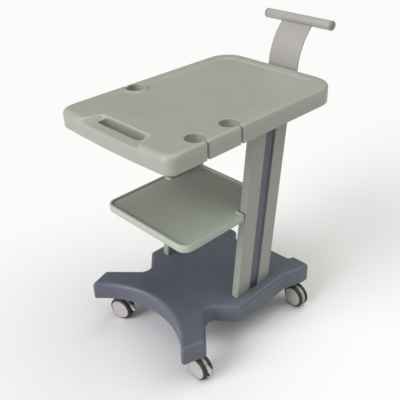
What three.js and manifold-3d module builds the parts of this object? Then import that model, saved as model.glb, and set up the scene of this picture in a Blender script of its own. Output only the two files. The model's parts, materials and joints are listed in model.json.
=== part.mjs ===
// Trolley for a portable ultrasound scanner: a moulded top tray and a shelf on two leaning
// columns, a push handle behind, and a four-legged base on twin-wheel casters.
// Millimetres, +Z up, the user stands at -Y. X = 0 is the plane of symmetry of the frame.
import * as THREE from "three";
import { mergeVertices } from "three/addons/utils/BufferGeometryUtils.js";
import Module from "manifold-3d";

const GAP = 0.3;
const FULL_TURN = 2 * Math.PI;

// Heights above the floor.
const WHEEL_RADIUS = 37.5;
const WHEEL_SEGMENTS = 24;
const BASE_BOTTOM = 94;
const BASE_TOP = 151;
const SHELF_TOP = 435.5;
const TRAY_TOP = 740;
const HANDLE_HEIGHT = 861;

// Moulded walls.
const WALL = 4;
const THROUGH = 20;
const BEYOND = 500;

// Base: outline of the cover, right half, as [x, y, corner radius].
const FRONT_ARC = { halfChord: 206, chordY: -358, sagitta: 97, steps: 20 };
const LEG_TOE_RADIUS = 8;
const BASE_RIGHT = [
  [230, -282, 10],
  [124, -182, 30],
  [202, -112, 10],
  [199, 98, 40],
  [219, 158, 60],
  [220, 196, 14],
  [153, 195, 8],
  [149, 177, 8],
  [79, 174, 18],
  [57, 143, 20],
];
const COVER_EDGE = 5;
const SLOT_END_GAP = 0.6;

// Columns: each is a front and a rear profile with a recessed core between them.
const COLUMN_INNER = 144;
const COLUMN_OUTER = 167.5;
const COLUMN_LEAN = 0.12;
const COLUMN_CUTS = [-90, -36, 3, 52];
const CORE_RECESS = 5;
const COLUMN_TOP = 722;
const COLUMN_WALL = 2;
const FOOT_TOP = 144.3;
const FOOT = { thickness: 4, half: 15, overhang: 8 };

// Welded frame inside the base.
const FRAME_BOTTOM = 112;
const FRAME_TOP = 140;
const FRAME_ARM_WIDTH = 25;
const RAIL = { depth: 35, overhang: 5 };
const ARM_ROOT = { frontX: 45, frontY: 10, rearY: 12 };
const SOCKET = { radius: 15, bottom: 96, segments: 24 };

// Top tray.
const TRAY_HALF = 218;
const TRAY_BACK = 272;
const TRAY_BOW = { halfChord: TRAY_HALF, chordY: -365.5, sagitta: -7.5, steps: 12 };
const TRAY_CORNER = { front: 30, back: 75 };
const TRAY_BOTTOM = 690;
const TRAY_EDGE = 8;
const TRAY_WALL = 5;
const RECESS_FLOOR = 736;
const RECESS = { half: 182, front: -285, back: 236, frontRadius: 25, backRadius: 42 };
const SCOOP_FLOOR = 731;
const SCOOP_RIGHT = [
  [190, -386, 0],
  [112, -363, 22],
  [94, -311.5, 14],
];
const HOLLOW_TOP = 727;
const HOLE_RADIUS = 26;
const HOLE_WALL = 4;
const HOLE_LAND = 36;
const SLOT_HALF_WIDTH = 3.5;
const SLOT_SLOPE = 0.26;
const SLOT_OVERRUN = 4;
const PROBE_HOLES = [
  [-182, -136],
  [182, -136],
  [182, -252],
];
const GRIP = { half: 82, front: -341, back: -314, radius: 11 };

// Shelf.
const SHELF_HALF = 169;
const SHELF_FRONT = -290;
const SHELF_STEP = -59.5;
const SHELF_TONGUE = 143;
const SHELF_BACK = 70;
const SHELF_BOTTOM = 413.5;
const SHELF_RIM = 9;
const SHELF_FLOOR = 430.5;
const SHELF_HOLLOW_TOP = 426.5;
const SHELF_CORNER = { front: 30, step: 10, back: 8 };
const SHELF_EDGE = 3;
const SHELF_BRACKET = { front: -42, back: 58, width: 30, drop: 16, thickness: 3 };

// Handle: a bent strip that ends at a cross bar.
const STRIP = { half: 55, thickness: 5, y: 292, run: 681.5, bend: 20, arc: 175, arcStart: 720 };
const STRIP_ANGLE = THREE.MathUtils.degToRad(47.8);
const STRIP_FRONT = 26;
const BAR = { radius: 14, wall: 2, half: 116, end: 124, y: 359 };
const CAP = { land: 4, shoulder: 1.5, shoulderDepth: 1.2, crown: 5 };
const CROSSBAR = { front: 22, back: 78, bottom: 684.3, wall: 3 };
const TRAY_BRACKET = { front: -20, back: 16, width: 36, drop: 32, thickness: 4 };
const SCREW = { shank: 3, head: 6, headHeight: 4, chamfer: 1, x: 30, length: 12, segments: 16 };
const ROUND_SEGMENTS = 32;
const BORE_SEGMENTS = 24;

// Casters: place of each stem, heading of the trailing wheels in degrees, and a brake or not.
const CASTERS = [
  { name: "fl", x: -182, y: -281.5, heading: 16, brake: true },
  { name: "fr", x: 182, y: -281.5, heading: -1, brake: true },
  { name: "rl", x: -182, y: 158.5, heading: 198, brake: false },
  { name: "rr", x: 182, y: 158.5, heading: -5, brake: false },
];
const TRAIL = 20;
const STEM = { radius: 6, bore: 6.4, bottom: 83, top: 136 };
const AXLE = { radius: 4, bore: 4.3, half: 15 };
const FENDER = { radius: 36, half: 5.5, lowest: 26 };
const HEAD = { radius: 15, bottom: 76.5, top: 90 };
const NECK = { front: -13, back: 14, bottom: 60, top: 86 };
const TYRE = { inner: 29, near: 6, far: 17.2, round: 2.5 };
const HUB = { flange: 30.8, far: 19, lip: 17.5, shoulder: 18.1, dish: 26 };
const PEDAL = { x: 44, z: 54, radius: 6, clearance: 0.5, sideGap: 0.2, swing: 2 };
const PEDAL_ARM = [
  [44, 60],
  [54, 57.5],
  [64, 54.5],
  [70.5, 49],
  [70.5, 41],
  [65, 38],
  [54, 42],
  [44, 48],
];

function finish(color, roughness, metalness) {
  return () => new THREE.MeshStandardMaterial({ color, roughness, metalness });
}
const MOULDED = finish(0xb4b5a9, 0.55, 0);
const SHELF_PLASTIC = finish(0x9a9b8f, 0.6, 0);
const BASE_PLASTIC = finish(0x5c5e6b, 0.6, 0);
const COLUMN_PAINT = finish(0xa9aea1, 0.45, 0.1);
const CORE_PAINT = finish(0x56566a, 0.5, 0.1);
const STEEL = finish(0x8d8f92, 0.35, 0.9);
const FRAME_PAINT = finish(0x2c2e33, 0.5, 0.2);
const HANDLE_PAINT = finish(0xb5aeb0, 0.45, 0.1);
const CAP_PLASTIC = finish(0x77757c, 0.5, 0);
const RUBBER = finish(0x2b2b30, 0.85, 0);
const WHEEL_PLASTIC = finish(0xc3bdb6, 0.5, 0);
const HOUSING_PLASTIC = finish(0xa3a69a, 0.5, 0);

const wasm = await Module();
wasm.setup();

const trolley = new THREE.Group();

function add(group, name, geometry, material) {
  const mesh = new THREE.Mesh(geometry, material());
  mesh.name = name;
  group.add(mesh);
  return mesh;
}

// A closed geometry as a solid for joining and cutting.
function solid(geometry) {
  const bare = geometry.clone();
  bare.deleteAttribute("normal");
  bare.deleteAttribute("uv");
  const merged = mergeVertices(bare, 1e-4);
  return new wasm.Manifold(
    new wasm.Mesh({
      numProp: 3,
      vertProperties: merged.attributes.position.array,
      triVerts: new Uint32Array(merged.index.array),
    }),
  );
}

function geometryOf(body) {
  const { vertProperties, triVerts } = body.getMesh();
  const geometry = new THREE.BufferGeometry();
  geometry.setAttribute("position", new THREE.BufferAttribute(vertProperties, 3));
  geometry.setIndex(new THREE.BufferAttribute(triVerts, 1));
  geometry.computeVertexNormals();
  return geometry;
}

function joined(bodies) {
  return bodies.reduce((whole, body) => whole.add(body));
}

// Points along a shallow arc between (-halfChord, chordY) and (halfChord, chordY).
function arcPoints({ halfChord, chordY, sagitta, steps }) {
  const radius = (halfChord ** 2 + sagitta ** 2) / (2 * Math.abs(sagitta));
  const reach = Math.asin(halfChord / radius);
  return Array.from({ length: steps + 1 }, (_, i) => {
    const angle = reach * ((2 * i) / steps - 1);
    const rise = radius * (Math.cos(angle) - Math.cos(reach));
    return [radius * Math.sin(angle), chordY + Math.sign(sagitta) * rise, 0];
  });
}

function mirrored(corners) {
  return corners.map(([x, y, radius]) => [-x, y, radius]).reverse();
}

// At one corner of a counter-clockwise outline: unit vectors to its neighbours, and its turn.
function cornerAt(corners, i) {
  const at = (k) => new THREE.Vector2(...corners[(k + corners.length) % corners.length].slice(0, 2));
  const here = at(i);
  const before = at(i - 1).sub(here).normalize();
  const after = at(i + 1).sub(here).normalize();
  return { here, before, after, turn: after.cross(before) };
}

// A closed shape through corners [x, y, radius], each corner turned as an arc of its radius.
function outline(corners) {
  const shape = new THREE.Shape();
  corners.forEach(([x, y, radius], i) => {
    if (!radius) {
      if (i) shape.lineTo(x, y);
      else shape.moveTo(x, y);
      return;
    }
    const { here, before, after, turn } = cornerAt(corners, i);
    const half = Math.acos(THREE.MathUtils.clamp(before.dot(after), -1, 1)) / 2;
    const reach = radius / Math.tan(half);
    const start = here.clone().addScaledVector(before, reach);
    const end = here.clone().addScaledVector(after, reach);
    const middle = before.clone().add(after).normalize();
    const centre = here.clone().addScaledVector(middle, radius / Math.sin(half));
    if (!i) shape.moveTo(start.x, start.y);
    const from = start.clone().sub(centre).angle();
    const to = end.clone().sub(centre).angle();
    shape.absarc(centre.x, centre.y, radius, from, to, turn < 0);
  });
  shape.closePath();
  return shape;
}

// The same outline moved inwards by a distance, with its corner radii kept parallel.
function inset(corners, distance) {
  return corners.map(([, , radius], i) => {
    const { here, before, after, turn } = cornerAt(corners, i);
    const normalIn = new THREE.Vector2(before.y, -before.x);
    const normalOut = new THREE.Vector2(-after.y, after.x);
    const move = distance / (1 + normalIn.dot(normalOut));
    const moved = here.addScaledVector(normalIn.add(normalOut), move);
    const kept = turn > 0 ? radius - distance : radius + distance;
    return [moved.x, moved.y, radius ? Math.max(kept, 1) : 0];
  });
}

// A vertical prism between two heights.
function prism(shape, bottom, top, curveSegments = 3) {
  const geometry = new THREE.ExtrudeGeometry(shape, {
    depth: top - bottom,
    bevelEnabled: false,
    curveSegments,
  });
  return geometry.translate(0, 0, bottom);
}

// A prism whose upper edge is rounded over and whose lower edge is square.
function roundedTop(shape, bottom, top, edge) {
  const geometry = new THREE.ExtrudeGeometry(shape, {
    depth: top - bottom,
    bevelThickness: edge,
    bevelSize: edge,
    bevelOffset: -edge,
    bevelSegments: 2,
    curveSegments: 3,
  });
  geometry.translate(0, 0, bottom - edge);
  const floor = box([-BEYOND, BEYOND], [-BEYOND, BEYOND], [bottom - THROUGH, bottom]);
  return solid(geometry).subtract(solid(floor));
}

function box([x0, x1], [y0, y1], [z0, z1]) {
  const geometry = new THREE.BoxGeometry(x1 - x0, y1 - y0, z1 - z0);
  return geometry.translate((x0 + x1) / 2, (y0 + y1) / 2, (z0 + z1) / 2);
}

// An upright round post.
function post(x, y, bottom, top, radius, segments = 32) {
  const geometry = new THREE.CylinderGeometry(radius, radius, top - bottom, segments);
  return geometry.rotateX(Math.PI / 2).translate(x, y, (bottom + top) / 2);
}

// A shape drawn in the YZ plane, extruded along X between x0 and x1.
function sidePrism(shape, x0, x1, curveSegments = 8) {
  const basis = new THREE.Matrix4().makeBasis(
    new THREE.Vector3(0, 1, 0),
    new THREE.Vector3(0, 0, 1),
    new THREE.Vector3(1, 0, 0),
  );
  return prism(shape, 0, x1 - x0, curveSegments).applyMatrix4(basis).translate(x0, 0, 0);
}

// A shape drawn in the XZ plane, extruded along Y and centred on Y = 0.
function frontPrism(shape, half, curveSegments = 8) {
  return prism(shape, -half, half, curveSegments).rotateX(Math.PI / 2);
}

// A straight bar seen from above, between two points.
function arm([x0, y0], [x1, y1], width, bottom, top) {
  const length = Math.hypot(x1 - x0, y1 - y0);
  const geometry = new THREE.BoxGeometry(length, width, top - bottom);
  geometry.rotateZ(Math.atan2(y1 - y0, x1 - x0));
  return geometry.translate((x0 + x1) / 2, (y0 + y1) / 2, (bottom + top) / 2);
}

function columnY(y, z) {
  return y + COLUMN_LEAN * (z - BASE_TOP);
}

// A slab that leans back with the columns, cut level at both ends.
function leaning([x0, x1], [y0, y1], [z0, z1]) {
  const corners = [
    [columnY(y0, z0), z0, 0],
    [columnY(y1, z0), z0, 0],
    [columnY(y1, z1), z1, 0],
    [columnY(y0, z1), z1, 0],
  ];
  return sidePrism(outline(corners), x0, x1);
}

const frontArc = arcPoints(FRONT_ARC);
frontArc[0][2] = LEG_TOE_RADIUS;
frontArc.at(-1)[2] = LEG_TOE_RADIUS;
const baseOutline = [...frontArc, ...BASE_RIGHT, ...mirrored(BASE_RIGHT)];

function makeBaseCover() {
  const shell = roundedTop(outline(baseOutline), BASE_BOTTOM, BASE_TOP, COVER_EDGE);
  const hollow = prism(outline(inset(baseOutline, WALL)), BASE_BOTTOM - WALL, BASE_TOP - WALL);
  const [front, , , back] = COLUMN_CUTS;
  const slots = [-1, 1].map((side) => {
    const [x0, x1] = [side * COLUMN_INNER, side * COLUMN_OUTER].sort((a, b) => a - b);
    const heights = [BASE_BOTTOM, BASE_TOP + THROUGH];
    const depths = [front - SLOT_END_GAP, back + SLOT_END_GAP];
    return solid(leaning([x0 - GAP, x1 + GAP], depths, heights));
  });
  const cover = shell.subtract(solid(hollow)).subtract(slots[0]).subtract(slots[1]);
  add(trolley, "base_cover", geometryOf(cover), BASE_PLASTIC);
}

function makeBaseFrame() {
  const [front, , , back] = COLUMN_CUTS;
  const middle = (COLUMN_INNER + COLUMN_OUTER) / 2;
  const reach = middle + FRAME_ARM_WIDTH / 2;
  const heights = [FRAME_BOTTOM, FRAME_TOP];
  const bars = [
    box([-reach, reach], [front - RAIL.overhang, front - RAIL.overhang + RAIL.depth], heights),
    box([-reach, reach], [back + RAIL.overhang - RAIL.depth, back + RAIL.overhang], heights),
  ];
  for (const side of [-1, 1]) {
    bars.push(arm([side * middle, front], [side * middle, back], FRAME_ARM_WIDTH, ...heights));
  }
  for (const { x, y } of CASTERS) {
    const frontRoot = [Math.sign(x) * ARM_ROOT.frontX, front - ARM_ROOT.frontY];
    const rearRoot = [Math.sign(x) * middle, back - ARM_ROOT.rearY];
    bars.push(arm([x, y], y < 0 ? frontRoot : rearRoot, FRAME_ARM_WIDTH, ...heights));
    bars.push(post(x, y, SOCKET.bottom, FRAME_TOP, SOCKET.radius, SOCKET.segments));
  }
  const bores = CASTERS.map(({ x, y }) =>
    solid(post(x, y, BASE_BOTTOM, STEM.top + 1, STEM.radius + GAP, BORE_SEGMENTS)),
  );
  const frame = bores.reduce((whole, bore) => whole.subtract(bore), joined(bars.map(solid)));
  add(trolley, "base_frame", geometryOf(frame), FRAME_PAINT);
}

function makeColumns() {
  const [front, coreFront, coreBack, back] = COLUMN_CUTS;
  const parts = [
    { name: "front", from: front, to: coreFront - GAP, recess: 0, paint: COLUMN_PAINT },
    { name: "core", from: coreFront, to: coreBack, recess: CORE_RECESS, paint: CORE_PAINT },
    { name: "rear", from: coreBack + GAP, to: back, recess: 0, paint: COLUMN_PAINT },
  ];
  for (const [sideName, side] of [["left", -1], ["right", 1]]) {
    for (const { name, from, to, recess, paint } of parts) {
      const faces = [side * (COLUMN_INNER + recess), side * (COLUMN_OUTER - recess)];
      faces.sort((a, b) => a - b);
      const slab = leaning(faces, [from, to], [FOOT_TOP + GAP, COLUMN_TOP]);
      const bore = leaning(
        [faces[0] + COLUMN_WALL, faces[1] - COLUMN_WALL],
        [from + COLUMN_WALL, to - COLUMN_WALL],
        [FOOT_TOP - THROUGH, COLUMN_TOP + THROUGH],
      );
      const tube = solid(slab).subtract(solid(bore));
      add(trolley, `column_${sideName}_${name}`, geometryOf(tube), paint);
    }
    const middle = (side * (COLUMN_INNER + COLUMN_OUTER)) / 2;
    const widths = [middle - FOOT.half, middle + FOOT.half];
    const depths = [
      columnY(front, FOOT_TOP) - FOOT.overhang,
      columnY(back, FOOT_TOP) + FOOT.overhang,
    ];
    const foot = box(widths, depths, [FOOT_TOP - FOOT.thickness, FOOT_TOP]);
    add(trolley, `column_foot_${sideName}`, foot, STEEL);
  }
}

const trayOutline = (() => {
  const bow = arcPoints(TRAY_BOW);
  bow[0][2] = TRAY_CORNER.front;
  bow.at(-1)[2] = TRAY_CORNER.front;
  const { back } = TRAY_CORNER;
  return [...bow, [TRAY_HALF, TRAY_BACK, back], [-TRAY_HALF, TRAY_BACK, back]];
})();

function rectangle(half, front, back, frontRadius, backRadius) {
  return [
    [-half, front, frontRadius],
    [half, front, frontRadius],
    [half, back, backRadius],
    [-half, back, backRadius],
  ];
}

function makeTray() {
  const above = TRAY_TOP + THROUGH;
  const below = TRAY_BOTTOM - THROUGH;
  const block = roundedTop(outline(trayOutline), TRAY_BOTTOM, TRAY_TOP, TRAY_EDGE);

  const lands = PROBE_HOLES.map(([x, y]) => solid(post(x, y, below, above, HOLE_LAND)));
  const { half, front, back, frontRadius, backRadius } = RECESS;
  const recessOutline = outline(rectangle(half, front, back, frontRadius, backRadius));
  let recess = solid(prism(recessOutline, RECESS_FLOOR, above, 6));
  for (const land of lands) recess = recess.subtract(land);

  const scoopOutline = outline([...SCOOP_RIGHT, ...mirrored(SCOOP_RIGHT)]);
  const scoop = solid(prism(scoopOutline, SCOOP_FLOOR, above));

  const grip = rectangle(GRIP.half, GRIP.front, GRIP.back, GRIP.radius, GRIP.radius);
  const gripWall = outline(inset(grip, -HOLE_WALL));
  const inside = outline(inset(trayOutline, TRAY_WALL));
  let hollow = solid(prism(inside, below, HOLLOW_TOP));
  hollow = hollow.subtract(solid(prism(gripWall, below, above)));
  const cuts = [solid(prism(outline(grip), below, above))];
  for (const [x, y] of PROBE_HOLES) {
    const overrun = TRAY_HALF + SLOT_OVERRUN - Math.abs(x);
    const outer = [x + Math.sign(x) * overrun, y + Math.sign(x) * SLOT_SLOPE * overrun];
    const slot = (half) => solid(arm([x, y], outer, 2 * half, below, above));
    hollow = hollow.subtract(solid(post(x, y, below, above, HOLE_RADIUS + HOLE_WALL)));
    hollow = hollow.subtract(slot(SLOT_HALF_WIDTH + HOLE_WALL));
    cuts.push(solid(post(x, y, below, above, HOLE_RADIUS)), slot(SLOT_HALF_WIDTH));
  }
  let tray = block.subtract(recess).subtract(scoop).subtract(hollow);
  for (const cut of cuts) tray = tray.subtract(cut);
  add(trolley, "tray_top", geometryOf(tray), MOULDED);
}

// An angle bracket: an upright leg against a column and a level flange under the load.
function angle(side, wallX, top, { front, back, width, drop, thickness }) {
  const spans = (inner) => [side * inner, side * wallX].sort((a, b) => a - b);
  const upright = box(spans(wallX - thickness), [front, back], [top - drop, top]);
  const flange = box(spans(wallX - width), [front, back], [top - thickness, top]);
  return geometryOf(solid(upright).add(solid(flange)));
}

function makeTopSupports() {
  const width = COLUMN_INNER - GAP;
  const top = HOLLOW_TOP - GAP;
  const bar = box([-width, width], [CROSSBAR.front, CROSSBAR.back], [CROSSBAR.bottom, top]);
  const bore = box(
    [-COLUMN_INNER, COLUMN_INNER],
    [CROSSBAR.front + CROSSBAR.wall, CROSSBAR.back - CROSSBAR.wall],
    [CROSSBAR.bottom + CROSSBAR.wall, top - CROSSBAR.wall],
  );
  const middle = (CROSSBAR.front + CROSSBAR.back) / 2;
  let crossbar = solid(bar).subtract(solid(bore));
  for (const x of [-SCREW.x, SCREW.x]) {
    const heights = [CROSSBAR.bottom - 1, CROSSBAR.bottom + 2 * CROSSBAR.wall];
    const hole = post(x, middle, ...heights, SCREW.shank + GAP, SCREW.segments);
    crossbar = crossbar.subtract(solid(hole));
  }
  add(trolley, "crossbar_top", geometryOf(crossbar), FRAME_PAINT);

  // Angle brackets that carry the tray in front of the cross bar.
  for (const [sideName, side] of [["left", -1], ["right", 1]]) {
    const bracket = angle(side, width, top, TRAY_BRACKET);
    add(trolley, `tray_bracket_${sideName}`, bracket, STEEL);
  }
}

function makeShelf() {
  const right = [
    [SHELF_HALF, SHELF_FRONT, SHELF_CORNER.front],
    [SHELF_HALF, SHELF_STEP, SHELF_CORNER.step],
    [SHELF_TONGUE, SHELF_STEP, 0],
    [SHELF_TONGUE, SHELF_BACK, SHELF_CORNER.back],
  ];
  const corners = [...right, ...mirrored(right)];
  const floor = prism(outline(inset(corners, SHELF_RIM)), SHELF_FLOOR, SHELF_TOP + THROUGH);
  const hollow = prism(outline(inset(corners, WALL)), SHELF_BOTTOM - THROUGH, SHELF_HOLLOW_TOP);
  const block = roundedTop(outline(corners), SHELF_BOTTOM, SHELF_TOP, SHELF_EDGE);
  const shelf = block.subtract(solid(floor)).subtract(solid(hollow));
  add(trolley, "shelf_tray", geometryOf(shelf), SHELF_PLASTIC);

  for (const [sideName, side] of [["left", -1], ["right", 1]]) {
    const bracket = angle(side, COLUMN_INNER - GAP, SHELF_BOTTOM - GAP, SHELF_BRACKET);
    add(trolley, `shelf_bracket_${sideName}`, bracket, STEEL);
  }
}

// The strip's side view: level run under the tray, a bend up, and a long arc backwards.
function stripShape() {
  const { thickness, y, run, bend, arc, arcStart } = STRIP;
  const t = thickness / 2;
  const bendY = y - bend;
  const bendZ = run + bend;
  const arcY = y + arc;
  const end = Math.PI - STRIP_ANGLE;
  const shape = new THREE.Shape();
  shape.moveTo(STRIP_FRONT, run - t);
  shape.lineTo(bendY, run - t);
  shape.absarc(bendY, bendZ, bend + t, -Math.PI / 2, 0, false);
  shape.lineTo(y + t, arcStart);
  shape.absarc(arcY, arcStart, arc - t, Math.PI, end, true);
  shape.absarc(arcY, arcStart, arc + t, end, Math.PI, false);
  shape.lineTo(y - t, bendZ);
  shape.absarc(bendY, bendZ, bend - t, 0, -Math.PI / 2, true);
  shape.lineTo(STRIP_FRONT, run + t);
  shape.closePath();
  return shape;
}

// A cylinder along X.
function rod(x0, x1, y, z, radius, segments) {
  const geometry = new THREE.CylinderGeometry(radius, radius, x1 - x0, segments);
  return geometry.rotateZ(Math.PI / 2).translate((x0 + x1) / 2, y, z);
}

function makeHandle() {
  const middle = (CROSSBAR.front + CROSSBAR.back) / 2;
  let strip = solid(sidePrism(stripShape(), -STRIP.half, STRIP.half, 7));
  for (const x of [-SCREW.x, SCREW.x]) {
    const heights = [STRIP.run - STRIP.thickness, STRIP.run + STRIP.thickness];
    const hole = post(x, middle, ...heights, SCREW.shank + GAP, SCREW.segments);
    strip = strip.subtract(solid(hole));
  }
  add(trolley, "handle_plate", geometryOf(strip), HANDLE_PAINT);

  const rodOf = (half, radius) => solid(rod(-half, half, BAR.y, HANDLE_HEIGHT, radius, ROUND_SEGMENTS));
  const tube = rodOf(BAR.half, BAR.radius).subtract(rodOf(BAR.end, BAR.radius - BAR.wall));
  add(trolley, "handle_bar", geometryOf(tube), HANDLE_PAINT);
  const capDepth = BAR.end - BAR.half - GAP;
  const capProfile = [
    [0, 0],
    [BAR.radius, 0],
    [BAR.radius, capDepth - CAP.land],
    [BAR.radius - CAP.shoulder, capDepth - CAP.shoulderDepth],
    [BAR.radius - CAP.crown, capDepth],
    [0, capDepth],
  ];
  for (const [sideName, side] of [["left", -1], ["right", 1]]) {
    const cap = turned(capProfile, ROUND_SEGMENTS).rotateZ((-side * Math.PI) / 2);
    cap.translate(side * (BAR.half + GAP), BAR.y, HANDLE_HEIGHT);
    add(trolley, `handle_cap_${sideName}`, cap, CAP_PLASTIC);

    const under = STRIP.run - STRIP.thickness / 2 - GAP;
    const screwProfile = [
      [0, -SCREW.headHeight],
      [SCREW.head - SCREW.chamfer, -SCREW.headHeight],
      [SCREW.head, SCREW.chamfer - SCREW.headHeight],
      [SCREW.head, 0],
      [SCREW.shank, 0],
      [SCREW.shank, SCREW.length],
      [0, SCREW.length],
    ];
    const screw = turned(screwProfile, SCREW.segments).rotateX(Math.PI / 2);
    screw.translate(side * SCREW.x, middle, under);
    add(trolley, `handle_screw_${sideName}`, screw, STEEL);
  }
}

// A turned piece about Y from a profile of [radius, y] that runs counter-clockwise.
function turned(profile, segments) {
  const points = profile.map(([radius, y]) => new THREE.Vector2(radius, y));
  return new THREE.LatheGeometry(points, segments);
}

function makeTyre() {
  const { inner, near, far, round } = TYRE;
  const outer = WHEEL_RADIUS;
  return turned(
    [
      [inner, near],
      [outer - round, near],
      [outer, near + round],
      [outer, far - round],
      [outer - round, far],
      [inner, far],
      [inner, near],
    ],
    WHEEL_SEGMENTS,
  );
}

function makeHub() {
  const rim = TYRE.inner - GAP;
  return turned(
    [
      [0, AXLE.half + GAP],
      [AXLE.bore, AXLE.half + GAP],
      [AXLE.bore, TYRE.near + GAP],
      [rim, TYRE.near + GAP],
      [rim, HUB.lip],
      [HUB.flange, HUB.lip],
      [HUB.flange, HUB.shoulder],
      [HUB.dish, HUB.far],
      [0, HUB.far],
    ],
    WHEEL_SEGMENTS,
  );
}

// The housing: a fender between the wheels, a neck and a round swivel head over the stem.
function makeHousing(brake) {
  const disc = new THREE.Shape();
  disc.absarc(TRAIL, WHEEL_RADIUS, FENDER.radius, 0, FULL_TURN, false);
  const neck = outline([
    [NECK.front, NECK.bottom, 0],
    [NECK.back, NECK.bottom, 0],
    [NECK.back, NECK.top, 0],
    [NECK.front, NECK.top, 0],
  ]);
  let housing = solid(frontPrism(disc, FENDER.half, 12)).add(solid(frontPrism(neck, FENDER.half)));
  const across = [-FENDER.radius, FENDER.radius];
  const along = [-2 * FENDER.radius, 3 * FENDER.radius];
  housing = housing.subtract(solid(box(along, across, [-THROUGH, FENDER.lowest])));
  housing = housing.add(solid(post(0, 0, HEAD.bottom, HEAD.top, HEAD.radius, ROUND_SEGMENTS)));
  housing = housing.subtract(solid(post(0, 0, STEM.bottom - 1, HEAD.top + 1, STEM.bore, BORE_SEGMENTS)));
  const axleHole = new THREE.CylinderGeometry(AXLE.bore, AXLE.bore, THROUGH, BORE_SEGMENTS);
  housing = housing.subtract(solid(axleHole.translate(TRAIL, 0, WHEEL_RADIUS)));
  if (brake) {
    const room = PEDAL.radius + PEDAL.clearance;
    const socket = new THREE.CylinderGeometry(room, room, THROUGH, BORE_SEGMENTS);
    const behind = box([PEDAL.x, along[1]], across, [0, PEDAL.z + room]);
    const below = box([PEDAL.x - PEDAL.swing, along[1]], across, [0, PEDAL.z - 1]);
    housing = housing.subtract(solid(socket.translate(PEDAL.x, 0, PEDAL.z)));
    housing = housing.subtract(solid(behind)).subtract(solid(below));
  }
  return geometryOf(housing);
}

function makePedal() {
  const half = FENDER.half - PEDAL.sideGap;
  const knuckle = new THREE.CylinderGeometry(PEDAL.radius, PEDAL.radius, 2 * half, BORE_SEGMENTS);
  const lever = outline(PEDAL_ARM.map(([x, z]) => [x, z, 0]).reverse());
  const pedal = solid(frontPrism(lever, half)).add(solid(knuckle.translate(PEDAL.x, 0, PEDAL.z)));
  return geometryOf(pedal);
}

function makeCaster({ name, x, y, heading, brake }) {
  const caster = new THREE.Group();
  caster.position.set(x, y, 0);
  caster.rotation.z = THREE.MathUtils.degToRad(heading);
  trolley.add(caster);

  const stem = post(0, 0, STEM.bottom, STEM.top, STEM.radius, BORE_SEGMENTS);
  add(caster, `caster_stem_${name}`, stem, STEEL);
  add(caster, `caster_housing_${name}`, makeHousing(brake), HOUSING_PLASTIC);
  if (brake) add(caster, `brake_pedal_${name}`, makePedal(), HOUSING_PLASTIC);

  const axle = new THREE.CylinderGeometry(AXLE.radius, AXLE.radius, 2 * AXLE.half, BORE_SEGMENTS);
  add(caster, `caster_axle_${name}`, axle.translate(TRAIL, 0, WHEEL_RADIUS), STEEL);
  for (const [wheel, turn] of [["a", Math.PI], ["b", 0]]) {
    const side = new THREE.Group();
    side.position.set(TRAIL, 0, WHEEL_RADIUS);
    side.rotation.x = turn;
    caster.add(side);
    add(side, `tyre_${name}_${wheel}`, makeTyre(), RUBBER);
    add(side, `hub_${name}_${wheel}`, makeHub(), WHEEL_PLASTIC);
  }
}

makeBaseCover();
makeBaseFrame();
makeColumns();
makeTray();
makeTopSupports();
makeShelf();
makeHandle();
CASTERS.forEach(makeCaster);

export default trolley;
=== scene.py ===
"""Finished surfaces for a trolley that carries a portable ultrasound scanner.

Metres, +Z up, the front at -Y and the push handle at +Y.
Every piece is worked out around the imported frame.
"""

import json
import math

import bmesh
import bpy
import numpy as np
from bpy.props import FloatProperty, FloatVectorProperty, IntProperty, PointerProperty
from bpy.types import Operator, Panel, PropertyGroup
from mathutils import Matrix, Vector
from mathutils.geometry import delaunay_2d_cdt


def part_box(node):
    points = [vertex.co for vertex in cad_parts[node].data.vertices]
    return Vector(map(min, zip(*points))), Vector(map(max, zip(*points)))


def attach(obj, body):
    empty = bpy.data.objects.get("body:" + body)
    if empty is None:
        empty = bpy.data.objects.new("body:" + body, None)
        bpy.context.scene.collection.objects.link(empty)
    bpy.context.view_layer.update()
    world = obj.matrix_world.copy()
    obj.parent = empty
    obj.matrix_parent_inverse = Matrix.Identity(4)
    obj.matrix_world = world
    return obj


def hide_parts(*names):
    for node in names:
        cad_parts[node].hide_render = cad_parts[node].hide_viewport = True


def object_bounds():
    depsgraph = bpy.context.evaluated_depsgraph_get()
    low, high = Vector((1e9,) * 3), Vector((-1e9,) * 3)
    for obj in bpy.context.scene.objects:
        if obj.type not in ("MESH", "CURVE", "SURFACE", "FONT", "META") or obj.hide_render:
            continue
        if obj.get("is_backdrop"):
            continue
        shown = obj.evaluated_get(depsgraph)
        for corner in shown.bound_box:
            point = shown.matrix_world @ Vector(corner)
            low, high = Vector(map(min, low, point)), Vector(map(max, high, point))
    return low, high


bl_info = {
    "name": "Ultrasound Trolley",
    "version": (1, 0, 0),
    "blender": (4, 5, 0),
    "location": "View3D > Sidebar > Trolley",
    "description": "Builds the finished surfaces of a trolley for a portable scanner",
    "category": "Add Mesh",
}

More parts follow.
